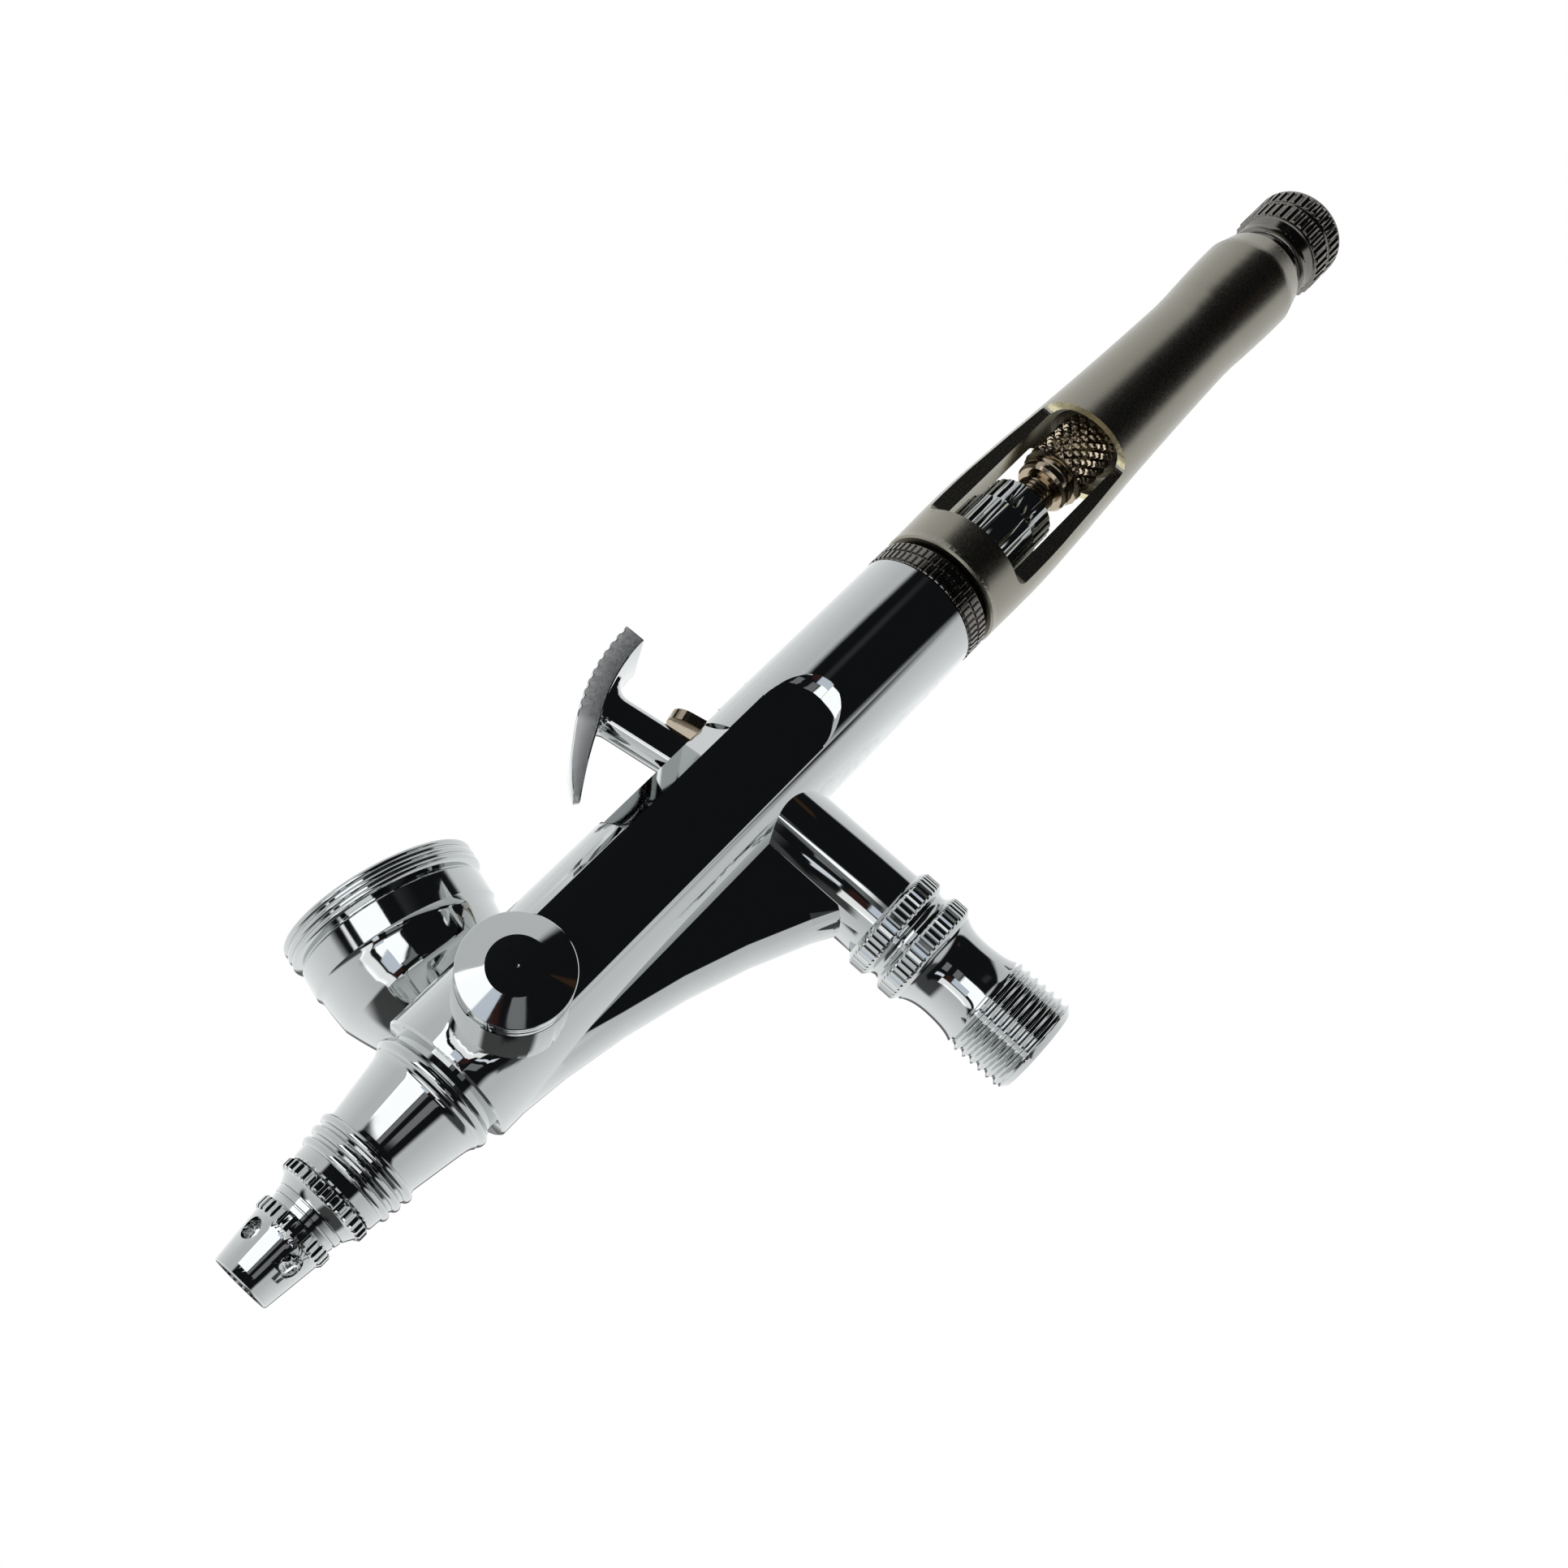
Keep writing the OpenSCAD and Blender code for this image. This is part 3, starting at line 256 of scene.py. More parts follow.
def dressed(node, finish, body="gun", crease=9, axes="X", planes=(), keep_below=None):
    """A copy of a CAD node with its loose triangles merged. Faces turned about one of the
    axes take the exact normal of their turning, so that the plating shows no facets. Faces
    along one of the planes, and faces square to the frame, stay flat. keep_below is a point
    and a direction that the copy is cut off at."""
    piece = bpy.data.objects.new(node + "_skin", nodes[node].data.copy())
    bpy.context.collection.objects.link(piece)
    select_only(piece)
    bpy.ops.object.mode_set(mode="EDIT")
    bpy.ops.mesh.select_all(action="SELECT")
    bpy.ops.mesh.remove_doubles(threshold=weld)
    if keep_below:
        bpy.ops.mesh.bisect(plane_co=keep_below[0] * mm, plane_no=keep_below[1],
                            use_fill=True, clear_outer=True)
    bpy.ops.object.mode_set(mode="OBJECT")
    bpy.ops.object.shade_smooth_by_angle(angle=math.radians(crease))
    mesh = piece.data
    along_plane, square = 0.999, 0.9999
    normals = [Vector(corner.vector) for corner in mesh.corner_normals]
    for face in mesh.polygons:
        corners = list(face.loop_indices)
        points = [mesh.vertices[mesh.loops[i].vertex_index].co for i in corners]
        in_plane = any(face.normal.dot(p) > along_plane for p in planes)
        found = None
        for name in "" if in_plane else axes:
            found = lathe_normals(face, points, [normals[i] for i in corners], *turning_axes[name])
            if found:
                break
        if not found and (in_plane or max(abs(c) for c in face.normal) > square):
            found = [Vector(face.normal)] * len(corners)
        for i, normal in zip(corners, found or []):
            normals[i] = normal
    mesh.normals_split_custom_set(normals)
    piece.data.materials.clear()
    piece.data.materials.append(finish)
    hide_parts(node)
    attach(piece, body)
    return piece


axis_z = sum(c.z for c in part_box("handle")) / 2 / mm
valve_x = 0.0
port_x = sum(c.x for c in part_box("port_plug")) / 2 / mm
turning_axes = {"X": (Vector((1, 0, 0)), Vector((0, 0, axis_z)) * mm),
                "Y": (Vector((0, 1, 0)), Vector((port_x, 0, axis_z)) * mm),
                "Z": (Vector((0, 0, 1)), Vector((valve_x, 0, 0)) * mm)}
# Chrome plating mirrors the room almost sharply, and a little bluer than silver
chrome = metal("bright chrome plating", "#C5C8C8", 0.045, 0.015, 1.2, 7.0, 0.012)
# The flats milled beside the trigger slot lean to each side of the barrel's top
relief = math.radians(38.5)
relief_planes = [Vector((0, side * math.sin(relief), math.cos(relief))) for side in (-1, 1)]
dressed("barrel", chrome, axes="XYZ", planes=relief_planes)


# ---- Head and caps --------------------------------------------------------
# Turned brass cone, chromed, screwed to the barrel against a bead. Three round
# ridges give the fingers a grip in front of it.
def curve(p0, p1, p2, steps):
    found = []
    for i in range(steps + 1):
        t = i / steps
        found.append(tuple((1 - t) ** 2 * a + 2 * t * (1 - t) * b + t * t * c
                           for a, b, c in zip(p0, p1, p2)))
    return found


def arc(centre, height, radius, start, end, steps):
    turns = [math.radians(start + (end - start) * i / steps) for i in range(steps + 1)]
    return [(centre + radius * math.cos(a), height + radius * math.sin(a)) for a in turns]


def turned(name, profile, finish, body, axis="X", centre=(0, 0), sides=96, crease=28):
    """A piece spun on the lathe from (station, radius) points in mm. centre is where its axis
    stands, and crease the angle past which an edge stays sharp."""
    if axis == "X":
        places, middle = [Vector((s, 0, r)) for s, r in profile], Vector((0, *centre))
    elif axis == "Y":
        places, middle = [Vector((0, s, r)) for s, r in profile], Vector((centre[0], 0, centre[1]))
    else:
        places, middle = [Vector((r, 0, s)) for s, r in profile], Vector((*centre, 0))
    bpy.ops.object.select_all(action="DESELECT")
    bpy.ops.mesh.primitive_plane_add(size=mm, location=(0, 0, 0))
    piece = bpy.context.object
    piece.name = piece.data.name = name
    bpy.ops.object.mode_set(mode="EDIT")
    bpy.ops.mesh.merge(type="CENTER")
    bpy.ops.transform.translate(value=(places[0] + middle) * mm)
    for here, after in zip(places, places[1:]):
        bpy.ops.mesh.extrude_vertices_move(TRANSFORM_OT_translate={"value": (after - here) * mm})
    bpy.ops.mesh.select_all(action="SELECT")
    bpy.ops.mesh.spin(steps=sides, angle=2 * math.pi, center=middle * mm,
                      axis=turning_axes[axis][0])
    bpy.ops.mesh.select_all(action="SELECT")
    bpy.ops.mesh.remove_doubles(threshold=weld)
    bpy.ops.mesh.normals_make_consistent(inside=False)
    bpy.ops.object.mode_set(mode="OBJECT")
    bpy.ops.object.shade_smooth_by_angle(angle=math.radians(crease))
    piece.data.materials.append(finish)
    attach(piece, body)
    return piece


head_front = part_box("head")[0].x / mm
barrel_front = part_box("barrel")[0].x / mm
ridge_start, ridge_step = head_front + 1.0, 1.1
ridges = []
for i in range(3):
    ridges += arc(ridge_start + (i + 0.5) * ridge_step, 4.17 + i * 0.14, 0.42, 170, 10, 12)
cone_start, bead_start = head_front + 4.5, barrel_front - 2.3
head = turned("head_turning",
              [(head_front, 2.2), (head_front, 4.0), (head_front + 0.15, 4.15)] + ridges
              + [(cone_start, 4.45), (cone_start + 0.1, 4.46), (bead_start - 1.2, 5.2)]
              + curve((bead_start - 1.0, 5.25), (bead_start - 0.3, 5.35), (bead_start, 5.65), 8)
              + arc(bead_start + 0.75, 5.35, 0.6, 150, 30, 12)
              + [(bead_start + 1.5, 5.55), (bead_start + 1.5, 5.35), (barrel_front + 0.02, 5.35),
                 (barrel_front + 0.02, 2.2)],
              chrome, "gun", centre=(0, axis_z), sides=128)
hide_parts("head")

uncut = 20.0  # mm, a radius outside every turned piece, where nothing is cut


def cut_round(piece, limit, axis="X", centre=(0, 0)):
    """Cuts a turned piece back to the radius limit(station, turn) in mm, as knurls and
    threads are cut. turn runs from -0.5 to 0.5 once round the piece."""
    for v in piece.data.vertices:
        if axis == "X":
            station, a, b = v.co.x / mm, v.co.y / mm - centre[0], v.co.z / mm - centre[1]
        else:
            station, a, b = v.co.z / mm, v.co.x / mm - centre[0], v.co.y / mm - centre[1]
        radius = math.hypot(a, b)
        if radius < 0.01:
            continue
        k = min(1.0, limit(station, math.atan2(b, a) / (2 * math.pi)) / radius)
        if axis == "X":
            v.co.y, v.co.z = (centre[0] + a * k) * mm, (centre[1] + b * k) * mm
        else:
            v.co.x, v.co.y = (centre[0] + a * k) * mm, (centre[1] + b * k) * mm
    piece.data.update()
    select_only(piece)
    bpy.ops.object.shade_smooth_by_angle(angle=math.radians(35))


def gap(place):
    """How far a place stands from the middle of its tooth: 0 there, 1 in the gap's middle."""
    return abs(place % 1 - 0.5) * 2


def rows(start, end, step, radius):
    n = max(1, round((end - start) / step))
    return [(start + (end - start) * i / n, radius) for i in range(n + 1)]


def ramp(value, low, high):
    return min(1.0, max(0.0, (value - low) / (high - low)))


# Nozzle cap: stepped, with a ring of square-cut teeth that the fingers turn it by
cap_x, cap_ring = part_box("nozzle_cap")[0].x / mm + 2.1, head_front - 1.25
cap_ring_r, cap_teeth, cap_cut = 4.25, 30, 0.3
cap = turned("nozzle_cap_turning",
             [(cap_x - 2.1, 0.68), (cap_x - 2.1, 2.2), (cap_x - 1.8, 2.5), (cap_x, 2.5),
              (cap_x, 3.0), (cap_x + 0.5, 3.12), (cap_x + 0.55, 3.0), (cap_x + 0.65, 3.02),
              (cap_x + 0.7, 3.18), (cap_x + 1.15, 3.28), (cap_x + 1.2, 3.15), (cap_x + 1.3, 3.18),
              (cap_x + 1.35, 3.35), (cap_ring - 0.1, 3.75), (cap_ring, 3.85),
              (cap_ring + 0.05, 3.95), (cap_ring + 0.12, 4.1), (cap_ring + 0.25, cap_ring_r),
              (cap_ring + 0.95, cap_ring_r), (cap_ring + 1.08, 4.1), (cap_ring + 1.15, 3.95),
              (cap_ring + 1.2, 3.85), (cap_ring + 1.2, 3.2), (head_front + 3.2, 3.2),
              (head_front + 3.2, 2.1), (cap_x - 0.9, 2.1), (cap_x - 0.9, 1.02),
              (cap_x - 2.0, 0.68), (cap_x - 2.1, 0.68)],
             chrome, "gun", centre=(0, axis_z), sides=cap_teeth * 8, crease=25)


def cap_cuts(x, turn):
    if x < cap_ring - 0.01:
        return uncut
    return cap_ring_r - cap_cut * ramp(gap(turn * cap_teeth), 0.3, 0.55)


cut_round(cap, cap_cuts, centre=(0, axis_z))
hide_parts("nozzle_cap")
dressed("needle_cap", chrome, crease=12)

# Nozzle inside the caps, in turned brass: yellow, with the tool's soft sheen
brass = metal("turned brass", "#C9A968", 0.20, 0.05, 0.4, 3.0, 0.004)
dressed("nozzle", brass)


# ---- Side port and cup ----------------------------------------------------
# Screwed plug on a thin white seal, and the cup on its elbow at the port's other end.
# The plug's face is a shallow polished cone with the lathe's centre mark.

# PTFE is milky white, and waxy rather than shiny
ptfe, tree = new_material("white PTFE")
place = add_node(tree, "TexCoord").outputs["Object"]
cloud = add_node(tree, "TexNoise", {"Vector": place, "Scale": 1 / (0.4 * mm), "Detail": 3.0})
first_colour, second_colour, mixed_colour = 6, 7, 2  # A colour Mix node's sockets
milky = add_node(tree, "Mix", {"Factor": cloud.outputs["Fac"], first_colour: linear("#E2DFD6"),
                               second_colour: linear("#F1F0EC")}, data_type="RGBA")
waxy = add_node(tree, "MapRange", {"Value": cloud.outputs["Fac"], "To Min": 0.32, "To Max": 0.5})
skin = add_node(tree, "BsdfPrincipled", {"Base Color": milky.outputs[mixed_colour],
                                         "Roughness": waxy.outputs[0]})
add_node(tree, "OutputMaterial", {"Surface": skin.outputs[0]})


def refinished(node, finish):
    """Gives a CAD node that keeps its shape its material."""
    nodes[node].data.materials.clear()
    nodes[node].data.materials.append(finish)


# The plug was faced after the barrel was polished, and mirrors a touch softer
faced = metal("faced chrome plating", "#C5C8C8", 0.06, 0.02, 0.6, 5.0, 0.008)
plug_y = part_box("port_plug")[0].y / mm
plug = turned("port_plug_turning",
              [(plug_y + 6.6, 0), (plug_y + 6.6, 2.8), (plug_y + 6.3, 3.0), (plug_y + 2, 3.0),
               (plug_y + 2, 4.65), (plug_y + 1.9, 4.75), (plug_y + 1.5, 4.75), (plug_y + 1.46, 4.7),
               (plug_y + 1.42, 4.7), (plug_y + 1.38, 4.75), (plug_y + 1.07, 4.75),
               (plug_y + 1.0, 4.68), (plug_y + 0.04, 2.6), (plug_y, 2.5), (plug_y, 0.13),
               (plug_y + 0.06, 0)],
              faced, "gun", axis="Y", centre=(port_x, axis_z), sides=128, crease=12)
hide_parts("port_plug")
refinished("plug_seal", ptfe)

# Spun colour cup: a bowl with a straight band and a triple-ridged rim, chromed inside
# and out, on a stem that pushes into the far boss and swivels there.
cup_reach, cup_lean = 22.0, math.radians(15)
cup_at = Vector((port_x, cup_reach, axis_z))
cup_h, cup_r, cup_wall, cup_base, cup_base_r = 21.6, 9.7, 0.7, 3.2, 3.4
rim_r, rim_h, band_h = 10.15, 2.7, 3.2
band_z = cup_h - rim_h - band_h
ridge, ridge_r = rim_h / 3.2, 0.36
rim = []
for i in range(3):
    rim += arc(-(cup_h - (3 - i - 0.5) * ridge), rim_r - ridge_r, ridge_r, 20, 160, 10)
rim = [(-s, r) for s, r in rim]
bowl = turned("cup_turning",
              [(cup_base, 0), (cup_base, cup_base_r)]
              + curve((cup_base, cup_base_r), (6.4, 6.55), (band_z - 4, cup_r - 0.75), 20)
              + curve((band_z - 4, cup_r - 0.75), (band_z - 2, cup_r - 0.4),
                      (band_z - 0.9, cup_r - 0.35), 6)
              + [(band_z - 0.5, cup_r - 0.3), (band_z, cup_r),
                 (band_z + band_h - 0.5, cup_r - 0.02), (band_z + band_h - 0.2, cup_r - 0.35),
                 (cup_h - rim_h - 0.05, cup_r - 0.35)]
              + rim
              + [(cup_h, rim_r - 0.4), (cup_h, cup_r - 0.35 - cup_wall + 0.15),
                 (cup_h - 0.15, cup_r - 0.35 - cup_wall), (band_z - 0.9, cup_r - 0.35 - cup_wall)]
              + curve((band_z - 0.95, cup_r - 0.36 - cup_wall),
                      (band_z - 5, cup_r - 1.2 - cup_wall), (6.0, 4.9 - cup_wall), 16)
              + curve((5.9, 4.7 - cup_wall), (cup_base + 1, cup_base_r - cup_wall),
                      (cup_base + 0.8, 1.4), 6)
              + [(cup_base + 0.8, 0)],
              chrome, "colour_cup", axis="Z", centre=(0, 0), sides=128)
bowl.data.transform(Matrix.Translation(cup_at * mm) @ Matrix.Rotation(cup_lean, 4, "Y"))
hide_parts("cup")
dressed("cup_stem", chrome, "colour_cup", axes="Y", crease=12)
refinished("stem_seal", ptfe)


# ---- Trigger and lever ----------------------------------------------------
# Cast trigger, chromed: a bent finger pad with shallow grip ridges on its back, on a
# round stem with two flats. The pad's sides are left less polished than the rest.
trigger_turn = -math.radians(10)
pivot = Vector((0, 0, axis_z - 5.5))
stem_way = Vector((math.sin(trigger_turn), 0, math.cos(trigger_turn)))
stem_foot, stem_r, stem_flat = 11.4, 2.1, 1.75
# The CAD trigger stays up to the top of the slot, a little into the new stem
dressed("trigger", chrome, "finger_trigger", axes="",
        keep_below=(pivot + stem_way * (stem_foot + 0.1), stem_way))

# The stem widens into the pad through a fillet
bpy.ops.object.select_all(action="DESELECT")
bpy.ops.mesh.primitive_circle_add(vertices=64, radius=stem_r * mm, location=(0, 0, 0))
stem = bpy.context.object
stem.name = stem.data.name = "trigger_stem"
bpy.ops.object.mode_set(mode="EDIT")
bpy.ops.transform.translate(value=(0, 0, stem_foot * mm))
stem_top, fillet = 19.75, 1.5
rises = [(stem_top - fillet - 0.1, 1.0)]
rises += [(stem_top - fillet + fillet * math.sin(math.radians(t)),
           1 + fillet * (1 - math.cos(math.radians(t))) / stem_r) for t in range(8, 89, 8)]
rises += [(stem_top + 0.6, 1 + fillet / stem_r)]
height, wide = stem_foot, 1.0
for station, size in rises:
    rise = Vector((0, 0, station - height)) * mm
    bpy.ops.mesh.extrude_edges_move(TRANSFORM_OT_translate={"value": rise})
    bpy.ops.transform.resize(value=(size / wide, size / wide, 1),
                             center_override=(0, 0, station * mm))
    height, wide = station, size
bpy.ops.mesh.select_all(action="SELECT")
bpy.ops.mesh.edge_face_add()
bpy.ops.mesh.normals_make_consistent(inside=False)
bpy.ops.object.mode_set(mode="OBJECT")
for v in stem.data.vertices:
    reach = stem_flat * mm * (1 + 0.6 * max(0.0, (v.co.z / mm - stem_top + fillet) / (2 * stem_r)))
    v.co.y = max(-reach, min(reach, v.co.y))
stem.data.transform(Matrix.Translation(pivot * mm) @ Matrix.Rotation(trigger_turn, 4, "Y"))
bpy.ops.object.shade_smooth_by_angle(angle=math.radians(25))
stem.data.materials.append(chrome)
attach(stem, "finger_trigger")

# The pad's length runs round a centre below it, from its tail to its tip, in degrees.
# Each column is an angle and how far the grip is sunk there, in mm.
pad_centre, pad_r = Vector((3.7, 0, axis_z - 2.2)), 19.6
pad_tail, pad_teeth_end, pad_tip, pad_teeth = 92.0, 121.0, 143.5, 9
pad_thick, pad_tip_thick, pad_half_wide = 2.15, 0.65, 3.5
columns = []
tooth = (pad_teeth_end - pad_tail) / pad_teeth
for i in range(pad_teeth):
    start = pad_tail + i * tooth
    columns += [(start, 0.0), (start + 0.34 * tooth, 0.0), (start + 0.44 * tooth, 0.11),
                (start + 0.6 * tooth, 0.17), (start + 0.8 * tooth, 0.14)]
columns += [(pad_teeth_end + (pad_tip - pad_teeth_end) * (i / 22) ** 0.85, 0.0) for i in range(23)]
bpy.ops.object.select_all(action="DESELECT")
bpy.ops.mesh.primitive_grid_add(x_subdivisions=len(columns) - 1, y_subdivisions=1, size=2,
                                location=(0, 0, 0))
pad = bpy.context.object
pad.name = pad.data.name = "trigger_pad"
bpy.ops.object.mode_set(mode="EDIT")
bpy.ops.mesh.extrude_region_move(TRANSFORM_OT_translate={"value": (0, 0, 1)})
bpy.ops.mesh.select_all(action="SELECT")
bpy.ops.mesh.normals_make_consistent(inside=False)
bpy.ops.object.mode_set(mode="OBJECT")
round_x = pad_r * math.cos(math.radians(pad_teeth_end + 1.5))
round_len = round_x - pad_r * math.cos(math.radians(pad_tip)) + 0.02
for v in pad.data.vertices:
    angle, sunk = columns[round((v.co.x + 1) / 2 * (len(columns) - 1))]
    thin = max(0.0, (angle - pad_teeth_end) / (pad_tip - pad_teeth_end)) ** 1.5
    r = pad_r - sunk if v.co.z > 0.5 else pad_r - pad_thick + (pad_thick - pad_tip_thick) * thin
    a = math.radians(angle)
    into_tip = max(0.0, (round_x - pad_r * math.cos(a)) / round_len)
    half = max(0.15, pad_half_wide * max(0.0, 1 - into_tip) ** 0.55)
    v.co = (pad_centre + Vector((r * math.cos(a), half * v.co.y, r * math.sin(a)))) * mm
# The pad's sides were blasted before plating, and look an even pale grey
satin_chrome = metal("satin chrome plating", "#DCDEDF", 0.5, 0.05, 0.3, 2.0, 0.004)
pad.data.materials.append(chrome)
pad.data.materials.append(satin_chrome)
facing_sideways = 0.3
for face in pad.data.polygons:
    if abs(face.normal.y) > facing_sideways:
        face.material_index = 1
rounding = pad.modifiers.new("polished edges", "BEVEL")
rounding.width, rounding.segments, rounding.material = 0.13 * mm, 3, 0
rounding.limit_method, rounding.angle_limit = "ANGLE", math.radians(50)
bpy.context.view_layer.objects.active = pad
bpy.ops.object.modifier_apply(modifier=rounding.name)
bpy.ops.object.shade_smooth_by_angle(angle=math.radians(28))
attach(pad, "finger_trigger")

# Nickelled lever behind the stem, which draws the needle back. Nickel is warmer and
# softer than chrome.
warm_nickel = metal("bright nickel plating", "#AFA28F", 0.13, 0.04, 0.3, 3.0, 0.006)
dressed("aux_lever", warm_nickel, "needle_lever", axes="", crease=25)
# Ground steel is a neutral grey with a fine sheen
steel = metal("ground stainless steel", "#B9B9B7", 0.16, 0.04, 0.3, 3.0, 0.004)
dressed("lever_pin", steel)


# ---- Needle and its packing -----------------------------------------------
# Ground stainless needle, which tapers to the nozzle. A white packing keeps the colour
# out of the trigger's slot, and a slotted brass screw holds it.
dressed("needle", steel, "needle_set")
refinished("needle_packing", ptfe)
dressed("packing_screw", brass)


# ---- Spring case and chuck ------------------------------------------------
# Fluted, chromed spring case; the needle chuck's threaded end and its knurled nut
# stand out of it in the handle's window.
dressed("chuck_guide", warm_nickel, "needle_set")
dressed("needle_spring", steel)
dressed("spring_case", chrome)

# Chuck nut: a plain collar, a head with a diamond knurl and a domed end
nut_low, nut_high = (c.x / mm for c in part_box("chuck_nut"))
nut_r, nut_teeth, nut_cut, nut_head = 3.4, 17, 0.5, nut_low + 1.9
nut_pitch = 2 * math.pi * nut_r / nut_teeth
nut = turned("chuck_nut_turning",
             [(nut_low, 0.8), (nut_low, 2.65), (nut_low + 0.3, 2.92), (nut_low + 0.75, 2.95),
              (nut_low + 0.85, 2.8), (nut_low + 1.05, 2.8), (nut_low + 1.15, 2.95),
              (nut_head - 0.3, 2.92), (nut_head - 0.1, 2.6), (nut_head, nut_r - 0.45)]
             + rows(nut_head + 0.15, nut_high - 2.2, 0.12, nut_r)
             + curve((nut_high - 2.1, nut_r), (nut_high, nut_r - 0.2), (nut_high, nut_r - 1.8), 16)
             + [(nut_high, 0.8)],
             warm_nickel, "needle_set", centre=(0, axis_z), sides=nut_teeth * 8, crease=50)


def nut_knurl(x, turn):
    along_nut = (x - nut_head) / (nut_pitch * 1.15)
    cut = max(gap(turn * nut_teeth + side * along_nut) for side in (-1, 1))
    crest = nut_r if x < nut_high - 2.2 else nut_r - 0.1 * (x - nut_high + 2.2)
    return crest - nut_cut * ramp(x, nut_head + 0.1, nut_head + 0.5) * ramp(cut, 0.4, 1.0)


cut_round(nut, nut_knurl, centre=(0, axis_z))
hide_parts("chuck_nut")

# The chuck's thread between the case and the nut
case_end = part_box("spring_case")[1].x / mm
thread_start, thread_pitch, thread_bore, root_r, crest_r = case_end + 0.15, 0.55, 1.5, 1.93, 2.12
thread_turns = int((nut_low - thread_start) / thread_pitch)
thread = [(thread_start - 0.05, thread_bore)]
for i in range(thread_turns):
    x = thread_start + i * thread_pitch
    thread += [(x, root_r), (x + 0.2 * thread_pitch, crest_r), (x + 0.45 * thread_pitch, crest_r),
               (x + 0.65 * thread_pitch, root_r)]
thread_end = thread_start + thread_turns * thread_pitch
thread += [(thread_end, root_r), (thread_end, thread_bore)]
chuck_thread = turned("chuck_thread", thread, warm_nickel, "needle_set", centre=(0, axis_z),
                      sides=64)


# ---- Lock ring ------------------------------------------------------------
# Black-nickelled ring, screwed up against the barrel. Two rows of straight knurl, half
# a tooth apart, with a groove between them.

# Black nickel mirrors the room as chrome does, but dark and slightly warm
black_nickel = metal("black nickel plating", "#7F7C78", 0.15, 0.04, 0.25, 4.0, 0.006)
ring_low, ring_high = (c.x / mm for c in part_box("lock_ring"))
ring_r, ring_teeth, ring_cut = 6.55, 58, 0.24
row_ends = ((ring_low + 0.2, ring_low + 1.28), (ring_low + 1.46, ring_low + 2.54))
stations = [(ring_low, 4.7), (ring_low, ring_r - 0.2), (ring_low + 0.08, ring_r - 0.12)]
for start, end in row_ends:
    stations += [(start - 0.09, ring_r - 0.2), (start, ring_r - 0.2), (start + 0.05, ring_r)]
    stations += [(end - 0.05, ring_r), (end, ring_r - 0.2), (end + 0.09, ring_r - 0.2)]
ring = turned("lock_ring_turning",
              stations + [(ring_high - 0.65, ring_r - 0.25), (ring_high - 0.3, ring_r - 0.45),
                          (ring_high - 0.05, ring_r - 0.75), (ring_high, 5.7), (ring_high, 4.7)],
              black_nickel, "gun", centre=(0, axis_z), sides=ring_teeth * 8)


def ring_knurl(x, turn):
    shift = 0.5 if x > row_ends[0][1] + 0.09 else 0.0
    cut = ring_cut * ramp(gap(turn * ring_teeth + shift), 0.5, 0.78)
    return ring_r - cut if x < row_ends[1][1] + 0.05 else ring_r


cut_round(ring, ring_knurl, centre=(0, axis_z))
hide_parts("lock_ring")


# ---- Handle ---------------------------------------------------------------
# Turned brass sleeve with notches milled through both sides, satin nickel plated. The
# milled face at the notches' rear end shows bare brass.

# Satin nickel is blasted first: a soft grey sheen with no clear reflections
satin_nickel = metal("satin nickel plating", "#98958A", 0.27, 0.03, 0.25, 6.0, 0.006)
handle = dressed("handle", satin_nickel)
# Milled brass is pale yellow and glitters between its tool marks
raw_cut = metal("bare milled brass", "#E9E0BC", 0.42, 0.12, 0.12, 0.35, 0.06)
handle.data.materials.append(raw_cut)
window_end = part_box("handle")[0].x / mm + 24.4
facing_forwards, end_depth = -0.6, 1.5
for face in handle.data.polygons:
    if face.normal.x < facing_forwards and abs(face.center.x / mm - window_end) < end_depth:
        face.material_index = 1


# ---- Stop screw -----------------------------------------------------------
# Black-nickelled tail screw: a slim neck, then two straight-knurled bands with a
# bright groove between them and a rounded end.
screw_low, screw_high = (c.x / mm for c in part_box("stop_screw"))
knob, band1, band2 = screw_high - 9.35, screw_high - 5.55, screw_high - 2.55
knob_r, knob_teeth, knob_cut = 5.35, 36, 0.24
screw = turned("stop_screw_turning",
               [(screw_low, 0), (screw_low, 2.8), (screw_low + 0.2, 3.0), (knob, 3.0), (knob, 4.2),
                (knob + 0.1, 4.3), (knob + 1.6, 4.3), (knob + 1.7, 4.38), (knob + 1.8, 4.72),
                (knob + 1.9, 4.75), (knob + 2.4, 4.75), (knob + 2.5, 4.68), (knob + 2.6, 4.5),
                (band1 - 0.2, 4.85), (band1 - 0.12, 5.02), (band1 - 0.02, 5.05), (band1, 5.2),
                (band1 + 0.12, knob_r), (band1 + 2.3, knob_r), (band1 + 2.38, 5.2),
                (band1 + 2.4, 5.08), (band1 + 2.5, 5.02), (band2 - 0.1, 5.02), (band2, 5.08),
                (band2 + 0.02, 5.2), (band2 + 0.1, knob_r), (screw_high - 0.75, knob_r),
                (screw_high - 0.65, 5.33)]
               + arc(screw_high - 0.6, knob_r - 0.5, 0.45, 85, 5, 8)
               + [(screw_high, 4.6), (screw_high, 0)],
               black_nickel, "travel_stop", centre=(0, axis_z), sides=knob_teeth * 8, crease=35)


def knob_knurl(x, turn):
    in_band = band1 - 0.01 < x < band1 + 2.41 or band2 - 0.01 < x < screw_high - 0.7
    return knob_r - knob_cut * ramp(gap(turn * knob_teeth), 0.3, 0.6) if in_band else uncut


cut_round(screw, knob_knurl, centre=(0, axis_z))
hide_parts("stop_screw")


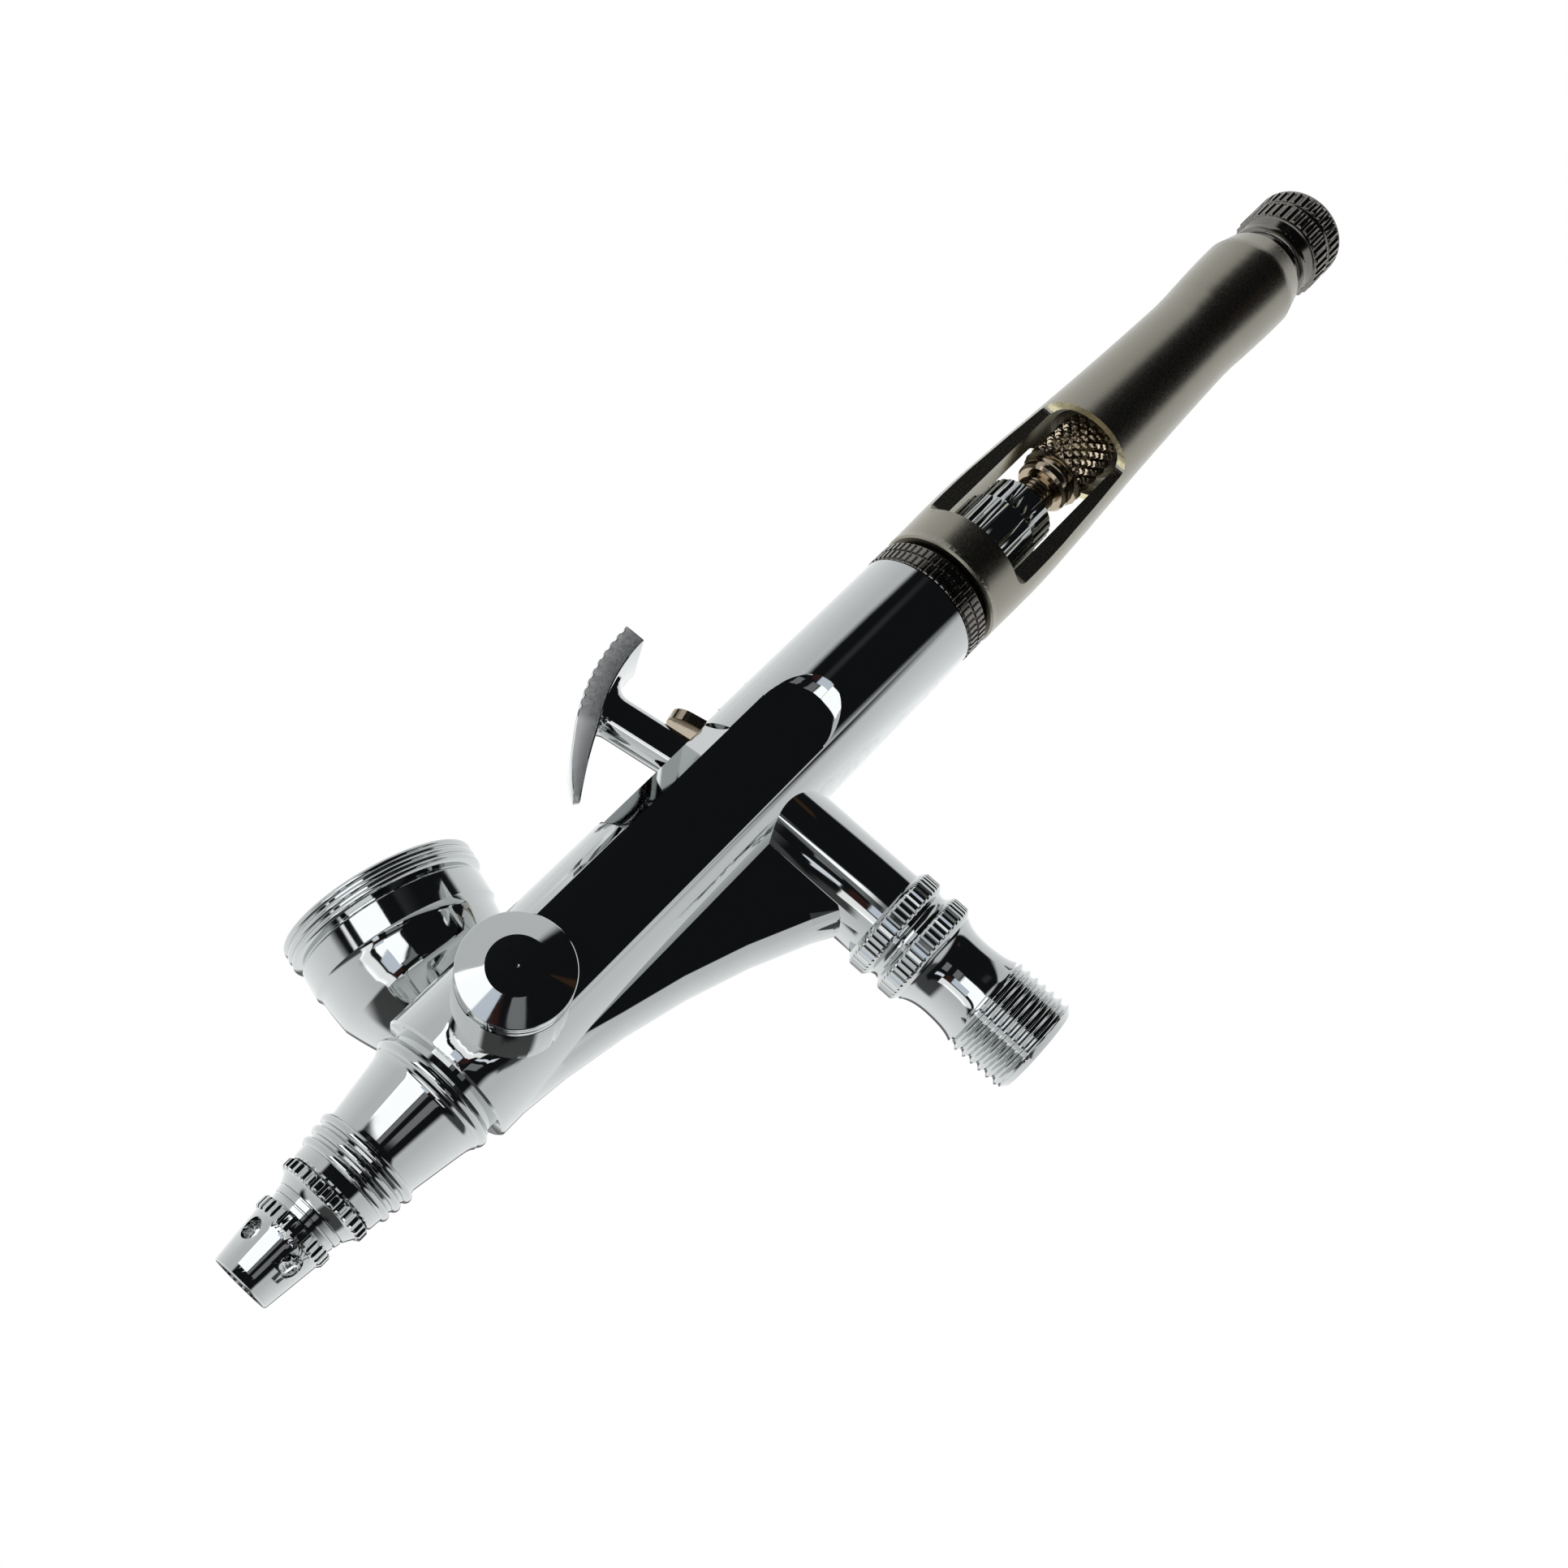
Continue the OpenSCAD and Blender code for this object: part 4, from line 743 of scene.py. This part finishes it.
# ---- Air valve ------------------------------------------------------------
# Chromed valve body screwed into the tube: two straight-knurled rings, a waisted bell
# and the inlet's pipe thread (28 to the inch), open at the end for the air.
inlet_r, pitch, inlet_cut = 4.864, 0.907, 0.38
ring1_top, ring1_low, ring2_top, ring2_low, bell_end = 18.0, 15.5, 14.7, 12.2, 6.2
valve_ring_r, valve_teeth, valve_cut = 5.3, 50, 0.15


def chamfers(top, low):
    """One ring of the valve body: a straight band between two smooth chamfers."""
    rise = [(0, 0.55), (0.1, 0.42), (0.2, 0.3), (0.3, 0.2), (0.38, 0.12), (0.46, 0.06),
            (0.56, 0.0)]
    return ([(top - z, valve_ring_r - r) for z, r in rise] + [((top + low) / 2, valve_ring_r)]
            + [(low + z, valve_ring_r - r) for z, r in reversed(rise)])


body = turned("valve_body_turning",
              [(ring1_top + 3.4, 2.62), (ring1_top + 3.4, 3.38), (ring1_top + 0.02, 3.38),
               (ring1_top + 0.02, 4.6)]
              + chamfers(ring1_top, ring1_low)
              + curve((ring1_low - 0.05, 4.7), (ring1_low - 0.4, 4.45), (ring2_top + 0.05, 4.7), 8)
              + chamfers(ring2_top, ring2_low)
              + curve((ring2_low - 0.15, 4.7), (ring2_low - 1.1, 4.05), (ring2_low - 3.0, 4.12), 18)
              + curve((ring2_low - 3.3, 4.13), (ring2_low - 5.0, 4.2), (bell_end + 0.3, 4.6), 10)
              + [(bell_end + 0.22, 4.62), (bell_end + 0.2, 4.3), (bell_end + 0.05, 4.3)]
              + [(z, inlet_r) for z, _ in reversed(rows(0.6, bell_end - 0.02, pitch / 12, 0))]
              + [(0.5, inlet_r - 0.12), (0.03, inlet_r - 0.62), (0, inlet_r - 0.7), (0, 2.75),
                 (0.15, 2.62), (ring1_top + 3.4, 2.62)],
              chrome, "gun", axis="Z", centre=(valve_x, 0), sides=valve_teeth * 8, crease=20)


def valve_cuts(z, turn):
    if z < bell_end:
        across = (z / pitch + turn) % 1
        groove = (0.5 + 0.5 * math.cos(2 * math.pi * across)) ** 0.8
        return inlet_r - inlet_cut * groove * ramp(z, 0.4, 0.7)
    if ring2_low < z < ring2_top or ring1_low < z < ring1_top:
        return valve_ring_r - valve_cut * ramp(gap(turn * valve_teeth), 0.5, 1.0)
    return uncut


cut_round(body, valve_cuts, axis="Z", centre=(valve_x, 0))
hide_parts("valve_body")

# Inside it: brass guide, pin, seat and nut, a white seal and a steel spring
for name in ("valve_guide", "valve_seat", "spring_nut"):
    dressed(name, brass)
dressed("valve_pin", brass, "air_valve")
refinished("valve_seal", ptfe)
refinished("valve_spring", steel)
